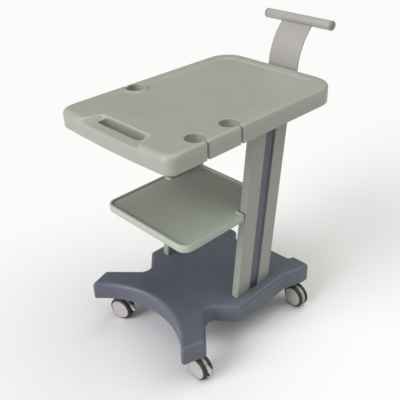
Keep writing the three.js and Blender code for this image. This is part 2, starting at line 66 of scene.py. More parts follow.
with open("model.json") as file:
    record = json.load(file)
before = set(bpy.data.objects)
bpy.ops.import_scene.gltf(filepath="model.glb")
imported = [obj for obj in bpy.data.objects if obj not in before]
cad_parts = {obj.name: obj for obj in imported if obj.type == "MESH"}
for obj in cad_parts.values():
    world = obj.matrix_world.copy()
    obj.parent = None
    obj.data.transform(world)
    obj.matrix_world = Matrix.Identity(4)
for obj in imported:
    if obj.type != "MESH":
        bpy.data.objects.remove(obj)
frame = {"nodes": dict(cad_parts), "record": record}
CAD_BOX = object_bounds()
RECORD = frame["record"]
OPENINGS = {o["name"]: o["box_m"] for o in RECORD["physics"]["openings"]}
JOINTS = {j["name"]: j for j in RECORD["behaviour"]["joints"]}
ROOT = "trolley"
CASTERS = ("fl", "fr", "rl", "rr")
BRAKED = ("fl", "fr")
MM = 0.001
PAIRS_AT_ONCE = 4_000_000
WELD_DIGITS = 6
SHARP = math.radians(38)
NO_POINTS = np.empty((0, 2))


def low(node):
    return np.array(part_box(node)[0])


def high(node):
    return np.array(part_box(node)[1])


TRAY_LOW, TRAY_HIGH = low("tray_top"), high("tray_top")
SHELF_LOW, SHELF_HIGH = low("shelf_tray"), high("shelf_tray")
BASE_LOW, BASE_HIGH = low("base_cover"), high("base_cover")


# ---------------------------------------------------------------- curves in a plane


def smooth(t):
    """Rises from 0 to 1 with level ends as t goes from 0 to 1: 3 t^2 - 2 t^3."""
    t = np.clip(t, 0.0, 1.0)
    return t * t * (3.0 - 2.0 * t)


def rounding(distance, radius):
    """Drop of a quarter-round edge of that radius, at a distance in from the edge."""
    inward = radius - np.clip(distance, 0.0, radius)
    return radius - np.sqrt(np.maximum(radius**2 - inward**2, 0.0))


def arc(centre, radius, start, turn, step=math.radians(7)):
    """Points on a circle from the angle start through the signed angle turn."""
    count = max(2, int(abs(turn) / step) + 2)
    angle = start + turn * np.linspace(0.0, 1.0, count)
    return np.asarray(centre) + radius * np.column_stack([np.cos(angle), np.sin(angle)])


def corner_arc(before, corner, after, step=math.radians(7)):
    """The arc of a corner (x, y, radius) that touches the runs to both of its neighbours. It
    starts radius * tan(turn / 2) before the corner."""
    middle, radius = corner[:2], corner[2]
    if radius == 0.0:
        return middle[None]
    come, leave = middle - before[:2], after[:2] - middle
    come, leave = come / np.linalg.norm(come), leave / np.linalg.norm(leave)
    turn = math.atan2(come[0] * leave[1] - come[1] * leave[0], come @ leave)
    start = middle - come * radius * math.tan(abs(turn) / 2)
    centre = start + math.copysign(radius, turn) * np.array([-come[1], come[0]])
    spoke = start - centre
    return arc(centre, radius, math.atan2(spoke[1], spoke[0]), turn, step)


def path_through(corners, spacing=0.006):
    """Closed path through corners (x, y, radius): straight runs, and at each corner the
    circular arc of that radius that touches both runs."""
    corner = np.asarray(corners, float)
    around = zip(np.roll(corner, 1, 0), corner, np.roll(corner, -1, 0))
    bends = [corner_arc(*three) for three in around]
    runs = []
    for bend, following in zip(bends, bends[1:] + bends[:1]):
        gap = following[0] - bend[-1]
        count = int(np.linalg.norm(gap) / spacing)
        between = np.linspace(0.0, 1.0, count + 2)[1:-1, None]
        runs += [bend, bend[-1] + between * gap]
    points = np.vstack(runs)
    step = np.linalg.norm(points - np.roll(points, 1, 0), axis=1)
    return points[step > 1e-6]


def bow(half, chord, rise, step=0.012):
    """Shallow arc from (-half, chord) to (half, chord), rising by rise at its middle."""
    radius = (half**2 + rise**2) / (2 * abs(rise))
    reach = math.asin(half / radius)
    angle = np.linspace(-reach, reach, int(2 * half / step) + 1)
    lift = radius * (np.cos(angle) - math.cos(reach))
    return np.column_stack([radius * np.sin(angle), chord + math.copysign(1.0, rise) * lift])


def mirror(corners):
    """The corners with x made -x, walked the other way round."""
    return [(-x, y, radius) for x, y, radius in reversed(corners)]


def offset(path, distance):
    """The closed path moved to its left, along the mean normal of the sides at each point."""
    come = path - np.roll(path, 1, 0)
    leave = np.roll(path, -1, 0) - path
    come /= np.linalg.norm(come, axis=1)[:, None]
    leave /= np.linalg.norm(leave, axis=1)[:, None]
    left_a = np.column_stack([-come[:, 1], come[:, 0]])
    left_b = np.column_stack([-leave[:, 1], leave[:, 0]])
    share = np.maximum(1.0 + (left_a * left_b).sum(1), 0.3)
    return path + distance * (left_a + left_b) / share[:, None]


def parts_of(count, width):
    """Splits count rows so that a table of that width stays small in memory."""
    return np.array_split(np.arange(count), max(1, count * width // PAIRS_AT_ONCE))


def distance_to(points, paths, closed=True):
    """Distance from each point to the nearest straight piece of any of the paths."""
    best = np.full(len(points), np.inf)
    for path in paths:
        start, end = (path, np.roll(path, -1, 0)) if closed else (path[:-1], path[1:])
        run = end - start
        square = np.maximum((run**2).sum(1), 1e-18)
        for part in parts_of(len(points), len(start)):
            to = points[part][:, None] - start
            along = np.clip((to * run).sum(2) / square, 0.0, 1.0)
            gap = to - along[..., None] * run
            best[part] = np.minimum(best[part], np.sqrt((gap**2).sum(2)).min(1))
    return best


def inside(points, loops):
    """True where a ray along +X from the point crosses the closed loops an odd number of times."""
    odd = np.zeros(len(points), bool)
    for loop in loops:
        x0, y0 = loop.T
        x1, y1 = np.roll(loop, -1, 0).T
        rise = np.where(y1 == y0, 1.0, y1 - y0)
        for part in parts_of(len(points), len(loop)):
            px, py = points[part, 0][:, None], points[part, 1][:, None]
            crosses = (y0 > py) != (y1 > py)
            at = x0 + (py - y0) / rise * (x1 - x0)
            odd[part] ^= (crosses & (px < at)).sum(1) % 2 == 1
    return odd


def depth_in(points, loop):
    """Signed distance to a closed loop, positive inside it."""
    return np.where(inside(points, [loop]), 1.0, -1.0) * distance_to(points, [loop])


# ---------------------------------------------------------------- meshes


def triangles(loops, inner):
    """Delaunay triangles of the region that the loops bound, through the inner points too."""
    corners = np.vstack([*loops, inner])
    edges, start = [], 0
    for loop in loops:
        index = np.arange(start, start + len(loop))
        edges.append(np.column_stack([index, np.roll(index, -1)]))
        start += len(loop)
    flat, _, faces, *_ = delaunay_2d_cdt(
        [Vector(p) for p in corners.tolist()], np.vstack(edges).tolist(), [], 0, 1e-9
    )
    flat = np.array([p[:] for p in flat])
    faces = np.array(faces)
    faces = faces[inside(flat[faces].mean(1), loops)]
    a, b, c = flat[faces[:, 0]], flat[faces[:, 1]], flat[faces[:, 2]]
    area = (b - a)[:, 0] * (c - a)[:, 1] - (b - a)[:, 1] * (c - a)[:, 0]
    faces[area < 0] = faces[area < 0][:, ::-1]
    return flat, faces[np.abs(area) > 1e-14]


def skin(rows):
    """Quads between neighbouring rows of points (rows, columns, 3), closed along each row."""
    count, width = rows.shape[:2]
    row, column = np.meshgrid(np.arange(count - 1), np.arange(width), indexing="ij")
    here = (row * width + column).ravel()
    beside = (row * width + (column + 1) % width).ravel()
    return rows.reshape(-1, 3), np.column_stack([here, here + width, beside + width, beside])


def lift(path, height):
    """The plan points (x, y) at that height, or each at its own."""
    return np.column_stack([path, np.broadcast_to(height, len(path))])


def mesh_object(name, surfaces, sharp=SHARP):
    """One object from (points, faces) surfaces, with the points that coincide made one."""
    points, faces, start = [], [], 0
    for surface_points, surface_faces in surfaces:
        points.append(surface_points)
        faces.append(surface_faces + start)
        start += len(surface_points)
    points = np.vstack(points)
    _, first, same = np.unique(
        np.round(points, WELD_DIGITS), axis=0, return_index=True, return_inverse=True
    )
    same = same.ravel()
    polygons = []
    for face in faces:
        face = same[face]
        ring = np.sort(face, axis=1)
        whole = (np.diff(ring, axis=1) > 0).all(1)
        polygons += face[whole].tolist()
        if face.shape[1] == 4:
            folded = face[~whole]
            repeats = folded == np.roll(folded, 1, 1)
            folded, repeats = folded[repeats.sum(1) == 1], repeats[repeats.sum(1) == 1]
            polygons += folded[~repeats].reshape(-1, 3).tolist()
    mesh = bpy.data.meshes.new(name)
    mesh.from_pydata(points[first].tolist(), [], polygons)
    mesh.validate()
    mesh.polygons.foreach_set("use_smooth", np.ones(len(mesh.polygons), bool))
    mesh.set_sharp_from_angle(angle=sharp)
    piece = bpy.data.objects.new(name, mesh)
    bpy.context.scene.collection.objects.link(piece)
    return piece


def coordinates(piece):
    flat = np.empty(len(piece.data.vertices) * 3)
    piece.data.vertices.foreach_get("co", flat)
    return flat.reshape(-1, 3)


def mark(piece, label, value):
    """Stores a value from 0 to 1 at each point under a name that the finishes read."""
    layer = piece.data.attributes.new(label, "FLOAT", "POINT")
    layer.data.foreach_set("value", np.clip(value, 0.0, 1.0))


def moulded_shell(name, loops, cuts, top, heights, walls, rings, spacing, features=()):
    """An open-bottomed moulding. Its top is the height function top(x, y) over the region
    that the loops and cuts bound, its walls fall from each loop to a small round at the
    bottom, and its hollow is the region more than a wall inside the loops, up to the
    ceiling. A cut goes through the skin only. Loops keep the material on their left."""
    bottom, ceiling = heights
    wall, lip = walls
    borders = [*loops, *cuts]
    inner = [
        moved[distance_to(moved, borders) > 0.97 * ring]
        for ring in rings
        for moved in (offset(border, ring) for border in borders)
    ]
    x, y = np.meshgrid(
        np.arange(loops[0][:, 0].min(), loops[0][:, 0].max(), spacing),
        np.arange(loops[0][:, 1].min(), loops[0][:, 1].max(), spacing * 0.87),
    )
    x[1::2] += spacing / 2
    grid = np.column_stack([x.ravel(), y.ravel()])
    grid = grid[inside(grid, borders)]
    grid = grid[distance_to(grid, borders) > rings[-1] + spacing / 2]
    if len(features):
        extra = np.vstack(features)
        extra = extra[inside(extra, borders)]
        extra = extra[distance_to(extra, borders) > rings[0] * 2]
        inner.append(extra)
        grid = grid[distance_to(grid, features) > spacing / 3]
    inner = np.vstack([*inner, grid])
    _, first = np.unique(np.floor(inner / (0.8 * MM)), axis=0, return_index=True)
    flat, faces = triangles(borders, inner[np.sort(first)])
    surfaces = [(lift(flat, top(flat)), faces)]

    feet, hollows = [], []
    for loop in loops:
        rim = top(loop)
        drop = rim - bottom - lip
        rows = [lift(loop, rim - drop * t) for t in np.linspace(0.0, 1.0, 7)]
        for angle in np.radians([30.0, 60.0, 90.0]):
            moved = offset(loop, lip * (1.0 - math.cos(angle)))
            rows.append(lift(moved, bottom + lip * (1.0 - math.sin(angle))))
        surfaces.append(skin(np.array(rows)))
        feet.append(offset(loop, lip))
        hollow = offset(loop, wall)
        hollow = hollow[distance_to(hollow, loops) > 0.98 * wall]
        hollows.append(hollow)
        surfaces.append(skin(np.array([lift(hollow, bottom), lift(hollow, ceiling)])))
    for cut in cuts:
        surfaces.append(skin(np.array([lift(cut, top(cut)), lift(cut, ceiling)])))
    flat, faces = triangles([*feet, *hollows], NO_POINTS)
    surfaces.append((lift(flat, bottom), faces[:, ::-1]))
    flat, faces = triangles([*hollows, *cuts], NO_POINTS)
    surfaces.append((lift(flat, ceiling), faces[:, ::-1]))
    return mesh_object(name, surfaces)


def plate(loop, half, edge, rings, to_space):
    """A flat plate on a closed loop, from -half to half across it, with rounded edges: its
    faces are half minus the drop of a quarter round at that distance from the edge."""
    inner = [
        moved[distance_to(moved, [loop]) > 0.97 * ring]
        for ring in rings
        for moved in [offset(loop, ring)]
    ]
    flat, faces = triangles([loop], np.vstack(inner))
    height = half - rounding(distance_to(flat, [loop]), edge)
    rim = half - edge
    wall, sides = skin(np.array([lift(loop, rim), lift(loop, -rim)]))
    return [
        (to_space(lift(flat, height)), faces),
        (to_space(lift(flat, -height)), faces[:, ::-1]),
        (to_space(wall), sides),
    ]


def lathe(profile, count, to_space):
    """A surface of revolution: each profile point (radius, along) carried round the axis.
    A profile that runs up the axis with the outside on its right faces outwards."""
    angle = np.linspace(0.0, 2.0 * math.pi, count, endpoint=False)
    radius, along = np.asarray(profile, float).T
    rows = np.stack(
        [
            radius[:, None] * np.cos(angle),
            radius[:, None] * np.sin(angle),
            np.broadcast_to(along[:, None], (len(along), count)),
        ],
        axis=2,
    )
    points, faces = skin(rows[::-1])
    return to_space(points), faces


def fillet(corners, step=math.radians(15)):
    """An open profile through corners (r, z, radius), with each inner corner rounded."""
    corner = np.asarray(corners, float)
    bends = [corner_arc(*three, step) for three in zip(corner[:-2], corner[1:-1], corner[2:])]
    return np.vstack([corner[:1, :2], *bends, corner[-1:, :2]])


# ---------------------------------------------------------------- finishes


# Painted shade: the colour factor that darkens the inside of the hand grip, standing in for the
# shade under the front bar.
RECESS_SHADE_TINT = (0.74, 0.78, 0.64)
DUST_COLOUR = (0.62, 0.61, 0.57)


def new_group(name, inputs, outputs):
    """An empty shader node group with float inputs (name, default) and typed outputs."""
    group = bpy.data.node_groups.new(name, "ShaderNodeTree")
    for label, default in inputs:
        socket = group.interface.new_socket(label, in_out="INPUT", socket_type="NodeSocketFloat")
        socket.default_value = default
    for label, kind in outputs:
        group.interface.new_socket(label, in_out="OUTPUT", socket_type=kind)
    source = group.nodes.new("NodeGroupInput")
    sink = group.nodes.new("NodeGroupOutput")
    return group, source, sink


def maths(tree, operation, first, second=None, clamp=False):
    node = tree.nodes.new("ShaderNodeMath")
    node.operation = operation
    node.use_clamp = clamp
    for socket, value in zip(node.inputs, (first, second)):
        if value is None:
            continue
        if isinstance(value, bpy.types.NodeSocket):
            tree.links.new(value, socket)
        else:
            socket.default_value = value
    return node.outputs[0]


def noise(tree, vector, scale, detail=3.0, roughness=0.55):
    node = tree.nodes.new("ShaderNodeTexNoise")
    node.inputs["Detail"].default_value = detail
    node.inputs["Roughness"].default_value = roughness
    tree.links.new(vector, node.inputs["Vector"])
    if isinstance(scale, bpy.types.NodeSocket):
        tree.links.new(scale, node.inputs["Scale"])
    else:
        node.inputs["Scale"].default_value = scale
    return node.outputs["Fac"]


def grain_group():
    """Fine moulding grain as a height, with slow clouds and small flecks as masks."""
    group, source, sink = new_group(
        "moulding_grain",
        [("Grain Scale", 900.0), ("Cloud Scale", 9.0)],
        [("Height", "NodeSocketFloat"), ("Cloud", "NodeSocketFloat"), ("Fleck", "NodeSocketFloat")],
    )
    place = group.nodes.new("ShaderNodeTexCoord").outputs["Object"]
    fine = noise(group, place, source.outputs["Grain Scale"], 2.0)
    cell = group.nodes.new("ShaderNodeTexVoronoi")
    group.links.new(place, cell.inputs["Vector"])
    group.links.new(source.outputs["Grain Scale"], cell.inputs["Scale"])
    height = maths(group, "ADD", fine, maths(group, "MULTIPLY", cell.outputs["Distance"], 0.5))
    cloud = noise(group, place, source.outputs["Cloud Scale"], 4.0, 0.6)
    fleck = noise(group, place, maths(group, "MULTIPLY", source.outputs["Cloud Scale"], 22.0), 2.0)
    group.links.new(height, sink.inputs["Height"])
    group.links.new(cloud, sink.inputs["Cloud"])
    group.links.new(fleck, sink.inputs["Fleck"])
    return group


def dust_group():
    """Settled dust: a mask on faces that look up, broken up by noise."""
    group, source, sink = new_group(
        "settled_dust", [("Amount", 0.2), ("Scale", 26.0)], [("Mask", "NodeSocketFloat")]
    )
    place = group.nodes.new("ShaderNodeTexCoord").outputs["Object"]
    normal = group.nodes.new("ShaderNodeNewGeometry").outputs["Normal"]
    split = group.nodes.new("ShaderNodeSeparateXYZ")
    group.links.new(normal, split.inputs[0])
    up = maths(group, "MULTIPLY", split.outputs["Z"], 1.0, clamp=True)
    patch = noise(group, place, source.outputs["Scale"], 5.0, 0.65)
    mask = maths(group, "MULTIPLY", maths(group, "POWER", up, 3.0), patch)
    mask = maths(group, "MULTIPLY", mask, source.outputs["Amount"], clamp=True)
    group.links.new(mask, sink.inputs["Mask"])
    return group


def stored_mask_group(name, attribute, amount, scale, detail, least):
    """A value stored on the piece, times noise plus a least share, as a mask."""
    group, source, sink = new_group(
        name, [("Amount", amount), ("Scale", scale)], [("Mask", "NodeSocketFloat")]
    )
    place = group.nodes.new("ShaderNodeTexCoord").outputs["Object"]
    stored = group.nodes.new("ShaderNodeAttribute")
    stored.attribute_name = attribute
    patch = maths(group, "ADD", noise(group, place, source.outputs["Scale"], detail), least)
    mask = maths(group, "MULTIPLY", stored.outputs["Fac"], patch)
    mask = maths(group, "MULTIPLY", mask, source.outputs["Amount"], clamp=True)
    group.links.new(mask, sink.inputs["Mask"])
    return group


def edge_highlight_group():
    """Painted highlight along edges, with smoother polished roughness there: the stored edge value,
    broken up by noise.
    """
    return stored_mask_group("edge_polish", "edge", 0.5, 40.0, 3.0, 0.35)


def painted_shade_group():
    """Painted shade inside the hand grip, where little light reaches: the stored value, broken up
    by noise.
    """
    return stored_mask_group("recess_soil", "soil", 1.0, 30.0, 4.0, 0.4)


def scratch_group():
    """Hairline scuffs: noise stretched along one direction and cut to its crests."""
    group, source, sink = new_group(
        "hairline_scuffs", [("Scale", 60.0), ("Threshold", 0.66)], [("Mask", "NodeSocketFloat")]
    )
    place = group.nodes.new("ShaderNodeTexCoord").outputs["Object"]
    stretch = group.nodes.new("ShaderNodeMapping")
    stretch.inputs["Scale"].default_value = (9.0, 0.8, 2.2)
    stretch.inputs["Rotation"].default_value = (0.3, 0.2, 0.7)
    group.links.new(place, stretch.inputs["Vector"])
    crest = noise(group, stretch.outputs[0], source.outputs["Scale"], 2.0)
    mask = maths(group, "SUBTRACT", crest, source.outputs["Threshold"])
    mask = maths(group, "MULTIPLY", mask, 9.0, clamp=True)
    group.links.new(mask, sink.inputs["Mask"])
    return group


def shared_group(name):
    makers = {
        "moulding_grain": grain_group,
        "settled_dust": dust_group,
        "edge_polish": edge_highlight_group,
        "recess_soil": painted_shade_group,
        "hairline_scuffs": scratch_group,
    }
    return bpy.data.node_groups.get(name) or makers[name]()


def place_group(tree, name, **values):
    node = tree.nodes.new("ShaderNodeGroup")
    node.node_tree = shared_group(name)
    for label, value in values.items():
        node.inputs[label.replace("_", " ")].default_value = value
    return node


def mix_colour(tree, mask, first, second):
    """Colour first where the mask is 0 and second where it is 1."""
    node = tree.nodes.new("ShaderNodeMix")
    node.data_type = "RGBA"
    tree.links.new(mask, node.inputs["Factor"])
    for label, value in (("A", first), ("B", second)):
        socket = next(s for s in node.inputs if s.name == label and s.type == "RGBA")
        if isinstance(value, bpy.types.NodeSocket):
            tree.links.new(value, socket)
        else:
            socket.default_value = (*value, 1.0)
    return next(s for s in node.outputs if s.type == "RGBA")


def scaled(colour, factor):
    return tuple(min(1.0, channel * factor) for channel in colour)


def surface(
    name, colour, roughness, grain=900.0, bump=0.2, cloud=0.06, dust=0.15, polish=0.0,
    scuffs=0.1, metallic=0.0, coat=0.0, tint=(1.0, 1.0, 1.0),
):
    """A finish: its colour clouded by the grain group, lightened at edges as a painted highlight
    where the roughness is also polished smoother, darkened as painted shade where a piece stores
    it, and dusted on top, with its roughness and its bump from the same groups."""
    finish = f"{name}_finish"
    found = bpy.data.materials.get(finish)
    if found:
        return found
    material = bpy.data.materials.new(finish)
    material.use_nodes = True
    tree = material.node_tree
    shader = tree.nodes["Principled BSDF"]
    texture = place_group(tree, "moulding_grain", Grain_Scale=grain)
    fall = place_group(tree, "settled_dust", Amount=dust)
    highlight = place_group(tree, "edge_polish", Amount=polish)
    scuff = place_group(tree, "hairline_scuffs")
    colour = tuple(colour)
    dark = tuple(c * t for c, t in zip(scaled(colour, 1.0 - cloud), tint))
    base = mix_colour(tree, texture.outputs["Cloud"], dark, scaled(colour, 1.0 + cloud))
    fleck = maths(tree, "MULTIPLY", texture.outputs["Fleck"], cloud * 2.0)
    base = mix_colour(tree, fleck, base, scaled(colour, 0.75))
    # Painted highlight: colour 1.45 times lighter where the stored edge value is high.
    base = mix_colour(tree, highlight.outputs["Mask"], base, scaled(colour, 1.45))
    # Painted shade: darker, olive colour where the piece stores its grip-shade value.
    soil = place_group(tree, "recess_soil")
    shaded_colour = tuple(np.array(colour) * RECESS_SHADE_TINT)
    base = mix_colour(tree, soil.outputs["Mask"], base, shaded_colour)
    base = mix_colour(tree, fall.outputs["Mask"], base, DUST_COLOUR)
    worn = maths(tree, "MULTIPLY", scuff.outputs["Mask"], scuffs)
    rough = maths(tree, "ADD", maths(tree, "MULTIPLY", texture.outputs["Cloud"], 0.16), worn)
    rough = maths(tree, "ADD", rough, roughness - 0.08)
    rough = maths(tree, "SUBTRACT", rough, maths(tree, "MULTIPLY", highlight.outputs["Mask"], 0.12), True)
    height = maths(tree, "SUBTRACT", texture.outputs["Height"], maths(tree, "MULTIPLY", worn, 2.0))
    relief = tree.nodes.new("ShaderNodeBump")
    relief.inputs["Strength"].default_value = bump
    relief.inputs["Distance"].default_value = 0.15 * MM
    tree.links.new(height, relief.inputs["Height"])
    tree.links.new(base, shader.inputs["Base Color"])
    tree.links.new(rough, shader.inputs["Roughness"])
    tree.links.new(relief.outputs["Normal"], shader.inputs["Normal"])
    shader.inputs["Metallic"].default_value = metallic
    shader.inputs["Coat Weight"].default_value = coat
    shader.inputs["Coat Roughness"].default_value = 0.25
    return material


# The edge amount in each finish sets a painted highlight on edges as well as a smoother, polished
# roughness there.
FINISHES = {
    "tray_plastic": ("tray", 0.42, {"polish": 0.55, "dust": 0.1, "tint": (0.98, 1.0, 0.98)}),
    "shelf_plastic": ("shelf", 0.5, {"polish": 0.45, "dust": 0.2, "tint": (0.97, 1.0, 0.97)}),
    "base_plastic": ("base", 0.46, {"cloud": 0.1, "polish": 0.3, "dust": 0.07, "bump": 0.3}),
    "column_paint": ("column", 0.4, {"grain": 1500.0, "bump": 0.12, "dust": 0.0, "coat": 0.15}),
    "core_paint": ("core", 0.45, {"grain": 1500.0, "bump": 0.12, "dust": 0.0, "coat": 0.1}),
    "handle_paint": ("handle", 0.45, {"grain": 1500.0, "bump": 0.1, "dust": 0.05, "coat": 0.05}),
    "frame_paint": ("frame_paint", 0.5, {"grain": 1200.0, "bump": 0.2, "dust": 0.12}),
    "steel": (
        "steel", 0.32,
        {"grain": 1800.0, "bump": 0.08, "dust": 0.05, "scuffs": 0.25, "metallic": 1.0},
    ),
    "cap_plastic": ("cap", 0.45, {"bump": 0.15, "dust": 0.05}),
    "tyre_rubber": ("tyre", 0.62, {"grain": 700.0, "bump": 0.35, "dust": 0.12, "scuffs": 0.2}),
    "wheel_plastic": ("wheel", 0.4, {"cloud": 0.05, "dust": 0.05, "scuffs": 0.15}),
    "housing_plastic": ("housing", 0.42, {"dust": 0.08, "scuffs": 0.12}),
}


def finish_of(slot):
    """The finish of one of the record's material slots."""
    shade, roughness, look = FINISHES[slot]
    return surface(slot, getattr(bpy.context.scene.trolley.finishes, shade), roughness, **look)


def fit_out(piece, body, slot, *nodes):
    """Gives a new piece its finish, its body and the CAD nodes that it stands for."""
    piece.data.materials.append(finish_of(slot))
    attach(piece, body)
    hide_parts(*nodes)
    return piece


def paint_node(node, slot):
    """Gives a CAD node that stays in view the finish of a slot."""
    part = frame["nodes"][node]
    if not part.material_slots:
        part.data.materials.append(finish_of(slot))
    for holder in part.material_slots:
        holder.material = finish_of(slot)


# ---------------------------------------------------------------- settings


def length(name, text, value, least=0.0):
    return FloatProperty(name=name, description=text, default=value, min=least, unit="LENGTH")


def colour(name, text, value):
    return FloatVectorProperty(
        name=name, description=text, default=value, size=3, min=0.0, max=1.0, subtype="COLOR"
    )


class TrolleyFinishes(PropertyGroup):
    tray: colour("Tray", "Colour of the moulded top tray", (0.345, 0.342, 0.298))
    shelf: colour("Shelf", "Colour of the moulded shelf", (0.355, 0.388, 0.322))
    base: colour("Base", "Colour of the base cover", (0.100, 0.111, 0.141))
    column: colour("Column", "Colour of the column profiles", (0.288, 0.303, 0.262))
    core: colour("Core", "Colour of the recessed strip of each column", (0.085, 0.092, 0.130))
    handle: colour("Handle", "Colour of the push handle", (0.345, 0.340, 0.310))
    frame_paint: colour("Frame", "Colour of the hidden welded frame", (0.030, 0.030, 0.036))
    steel: colour("Steel", "Colour of the plated steel pieces", (0.56, 0.56, 0.57))
    cap: colour("Cap", "Colour of the handle's end caps", (0.240, 0.245, 0.215))
    tyre: colour("Tyre", "Colour of the tyres", (0.022, 0.022, 0.027))
    wheel: colour("Wheel", "Colour of the wheel discs", (0.425, 0.410, 0.375))
    housing: colour("Housing", "Colour of the caster housings and pedals", (0.400, 0.430, 0.375))


class TrolleyTray(PropertyGroup):
    edge: length("Edge", "Radius of the upper outer edge", 10 * MM)
    front_edge: length("Front edge", "Radius of the upper front edge", 16 * MM)
    scoop_edge: length("Scoop edge", "Radius of the front edge inside the scoop", 4 * MM)
    hole_edge: length("Hole edge", "Radius round the holes and slots", 1.8 * MM)
    recess: length("Recess", "Depth of the flat floor below the rim", 4 * MM)
    scoop: length("Scoop", "Depth of the hand scoop below the rim", 9 * MM)
    step: length("Step", "Width of the slope between rim and floor", 7 * MM)
    scoop_step: length("Scoop step", "Width of the slope round the hand scoop", 10 * MM)
    ramp: length("Ramp", "Width of the gentle slope at the front and right of the floor", 0.075)
    wall: length("Wall", "Wall thickness", 4.5 * MM)
    lip: length("Lip", "Radius of the lower outer edge", 2.5 * MM)
    spacing: length("Spacing", "Distance between mesh points on the floor", 4.5 * MM, MM)


class TrolleyShelf(PropertyGroup):
    edge: length("Edge", "Radius of the upper outer edge", 4 * MM)
    rim: length("Rim", "Width of the raised rim", 9 * MM)
    recess: length("Recess", "Depth of the floor below the rim", 5 * MM)
    step: length("Step", "Width of the slope between rim and floor", 4 * MM)
    wall: length("Wall", "Wall thickness", 4 * MM)
    lip: length("Lip", "Radius of the lower outer edge", 2 * MM)
    spacing: length("Spacing", "Distance between mesh points on the floor", 5 * MM, MM)


class TrolleyBase(PropertyGroup):
    edge: length("Edge", "Radius of the upper outer edge", 12 * MM)
    wall: length("Wall", "Wall thickness", 4 * MM)
    lip: length("Lip", "Radius of the lower outer edge", 2 * MM)
    gap: length("Gap", "Gap round each column", 0.5 * MM)
    spacing: length("Spacing", "Distance between mesh points on the deck", 6 * MM, MM)


class TrolleyColumn(PropertyGroup):
    edge: length("Edge", "Radius of the outer corners of the profiles", 3 * MM)
    seam: length("Seam", "Radius of the corners beside the recessed strip", 0.8 * MM)


class TrolleyHandle(PropertyGroup):
    strip_edge: length("Strip edge", "Radius of the edges of the bent strip", 0.9 * MM)
    crown: length("Crown", "Radius of the rim of each end cap", 3 * MM)


class TrolleyCaster(PropertyGroup):
    segments: IntProperty(name="Segments", description="Facets round a wheel", default=72, min=12)
    tread: length("Tread", "Radius of the tyre's shoulders", 4 * MM)
    fender_edge: length("Fender edge", "Radius of the edges of housing and pedal", 1.8 * MM)


class TrolleyStage(PropertyGroup):
    azimuth: FloatProperty(
        name="Azimuth", description="Camera's angle round the trolley from the front",
        default=math.radians(46.8), subtype="ANGLE",
    )
    elevation: FloatProperty(
        name="Elevation", description="Camera's angle above the horizon",
        default=math.radians(31.0), subtype="ANGLE",
    )
    roll: FloatProperty(
        name="Roll", description="Camera's turn about its own axis",
        default=math.radians(-1.9), subtype="ANGLE",
    )
    distance: length("Distance", "From the camera to the point it looks at", 1.8)
    lens: FloatProperty(name="Lens", description="Focal length on a 36 mm sensor", default=54.84)
    target: FloatVectorProperty(
        name="Target", description="The point that the camera looks at",
        default=(0.0006, -0.0723, 0.4176), subtype="TRANSLATION",
    )
    floor: length("Floor", "Half the width of the floor", 9.0)
    key: FloatProperty(name="Key", description="Strength of the light from the front", default=2.1)
    low: FloatProperty(name="Low", description="Strength of the level front light", default=0.9)
    top: FloatProperty(name="Top", description="Strength of the light from above", default=2.0)
    sky: FloatProperty(name="Sky", description="Strength of the light from all round", default=0.12)


class TrolleySettings(PropertyGroup):
    finishes: PointerProperty(type=TrolleyFinishes)
    tray: PointerProperty(type=TrolleyTray)
    shelf: PointerProperty(type=TrolleyShelf)
    base: PointerProperty(type=TrolleyBase)
    column: PointerProperty(type=TrolleyColumn)
    handle: PointerProperty(type=TrolleyHandle)
    caster: PointerProperty(type=TrolleyCaster)
    stage: PointerProperty(type=TrolleyStage)


# ---------------------------------------------------------------- tray

TRAY_CORNER = (30 * MM, 75 * MM)
TRAY_BOW = 7.5 * MM
HOLE_RADIUS = 26 * MM
HOLE_LAND = 36 * MM
SLOT_HALF = 3.5 * MM
SLOT_FLARE = 2.5 * MM
SLOT_SLOPE = 0.26
RECESS = {"half": 182 * MM, "front": -285 * MM, "back": 236 * MM, "radii": (25 * MM, 42 * MM)}
SCOOP_RIGHT = [(0.190, -0.386, 0.0), (0.112, -0.363, 0.022), (0.094, -0.3115, 0.014)]
GRIP = {"half": 82 * MM, "front": -341 * MM, "back": -314 * MM, "radii": (11 * MM, 11 * MM)}
TRAY_CEILING = 13 * MM
FRONT_RAMP = 2.2
NOSE_START = 0.315
NOSE_BLEND = 0.04
# Painted shade reaches this far out from the grip's outline, over the grip's walls.
SHADE_REACH = 1.5 * MM
HOLDERS = ("probe_holder_left", "probe_holder_right_rear", "probe_holder_right_front")


def box_middle(name):
    """Middle of a stated opening, in plan."""
    first, last = OPENINGS[name]
    return (np.array(first) + np.array(last))[:2] / 2


def keyhole(edge, hole, slope):
    """A round hole that opens sideways through a sloping slot in the edge x = edge, walked
    in the direction of rising y. Arcs join the slot's walls to the hole and to the edge."""
    hole = np.asarray(hole)
    turn = math.atan(slope)
    axis = np.array([math.cos(turn), math.sin(turn)])
    across = np.array([-axis[1], axis[0]])
    reach = SLOT_HALF + SLOT_FLARE
    neck = math.sqrt((HOLE_RADIUS + SLOT_FLARE) ** 2 - reach**2)
    tilt = math.atan2(reach, neck)
    quarter = math.pi / 2
    walls = []
    for sign in (-1, 1):
        away = (edge - hole[0] - sign * SLOT_HALF * across[0]) / axis[0]
        corner = hole + away * axis + sign * SLOT_HALF * across
        on_edge = corner + (0.0, sign * 3 * SLOT_FLARE)
        inner = hole + neck * axis + sign * SLOT_HALF * across
        mouth = fillet([(*on_edge, 0.0), (*corner, SLOT_FLARE), (*inner, 0.0)])[1:-1]
        centre = hole + neck * axis + sign * reach * across
        start = turn + quarter if sign < 0 else turn - quarter
        bend = arc(centre, SLOT_FLARE, start, -sign * (quarter - tilt), math.radians(15))
        walls.append(np.vstack([mouth, bend]))
    around = arc(hole, HOLE_RADIUS, turn - tilt, -2 * (math.pi - tilt), math.radians(5))
    return np.vstack([walls[0], around[1:-1], walls[1][::-1]])


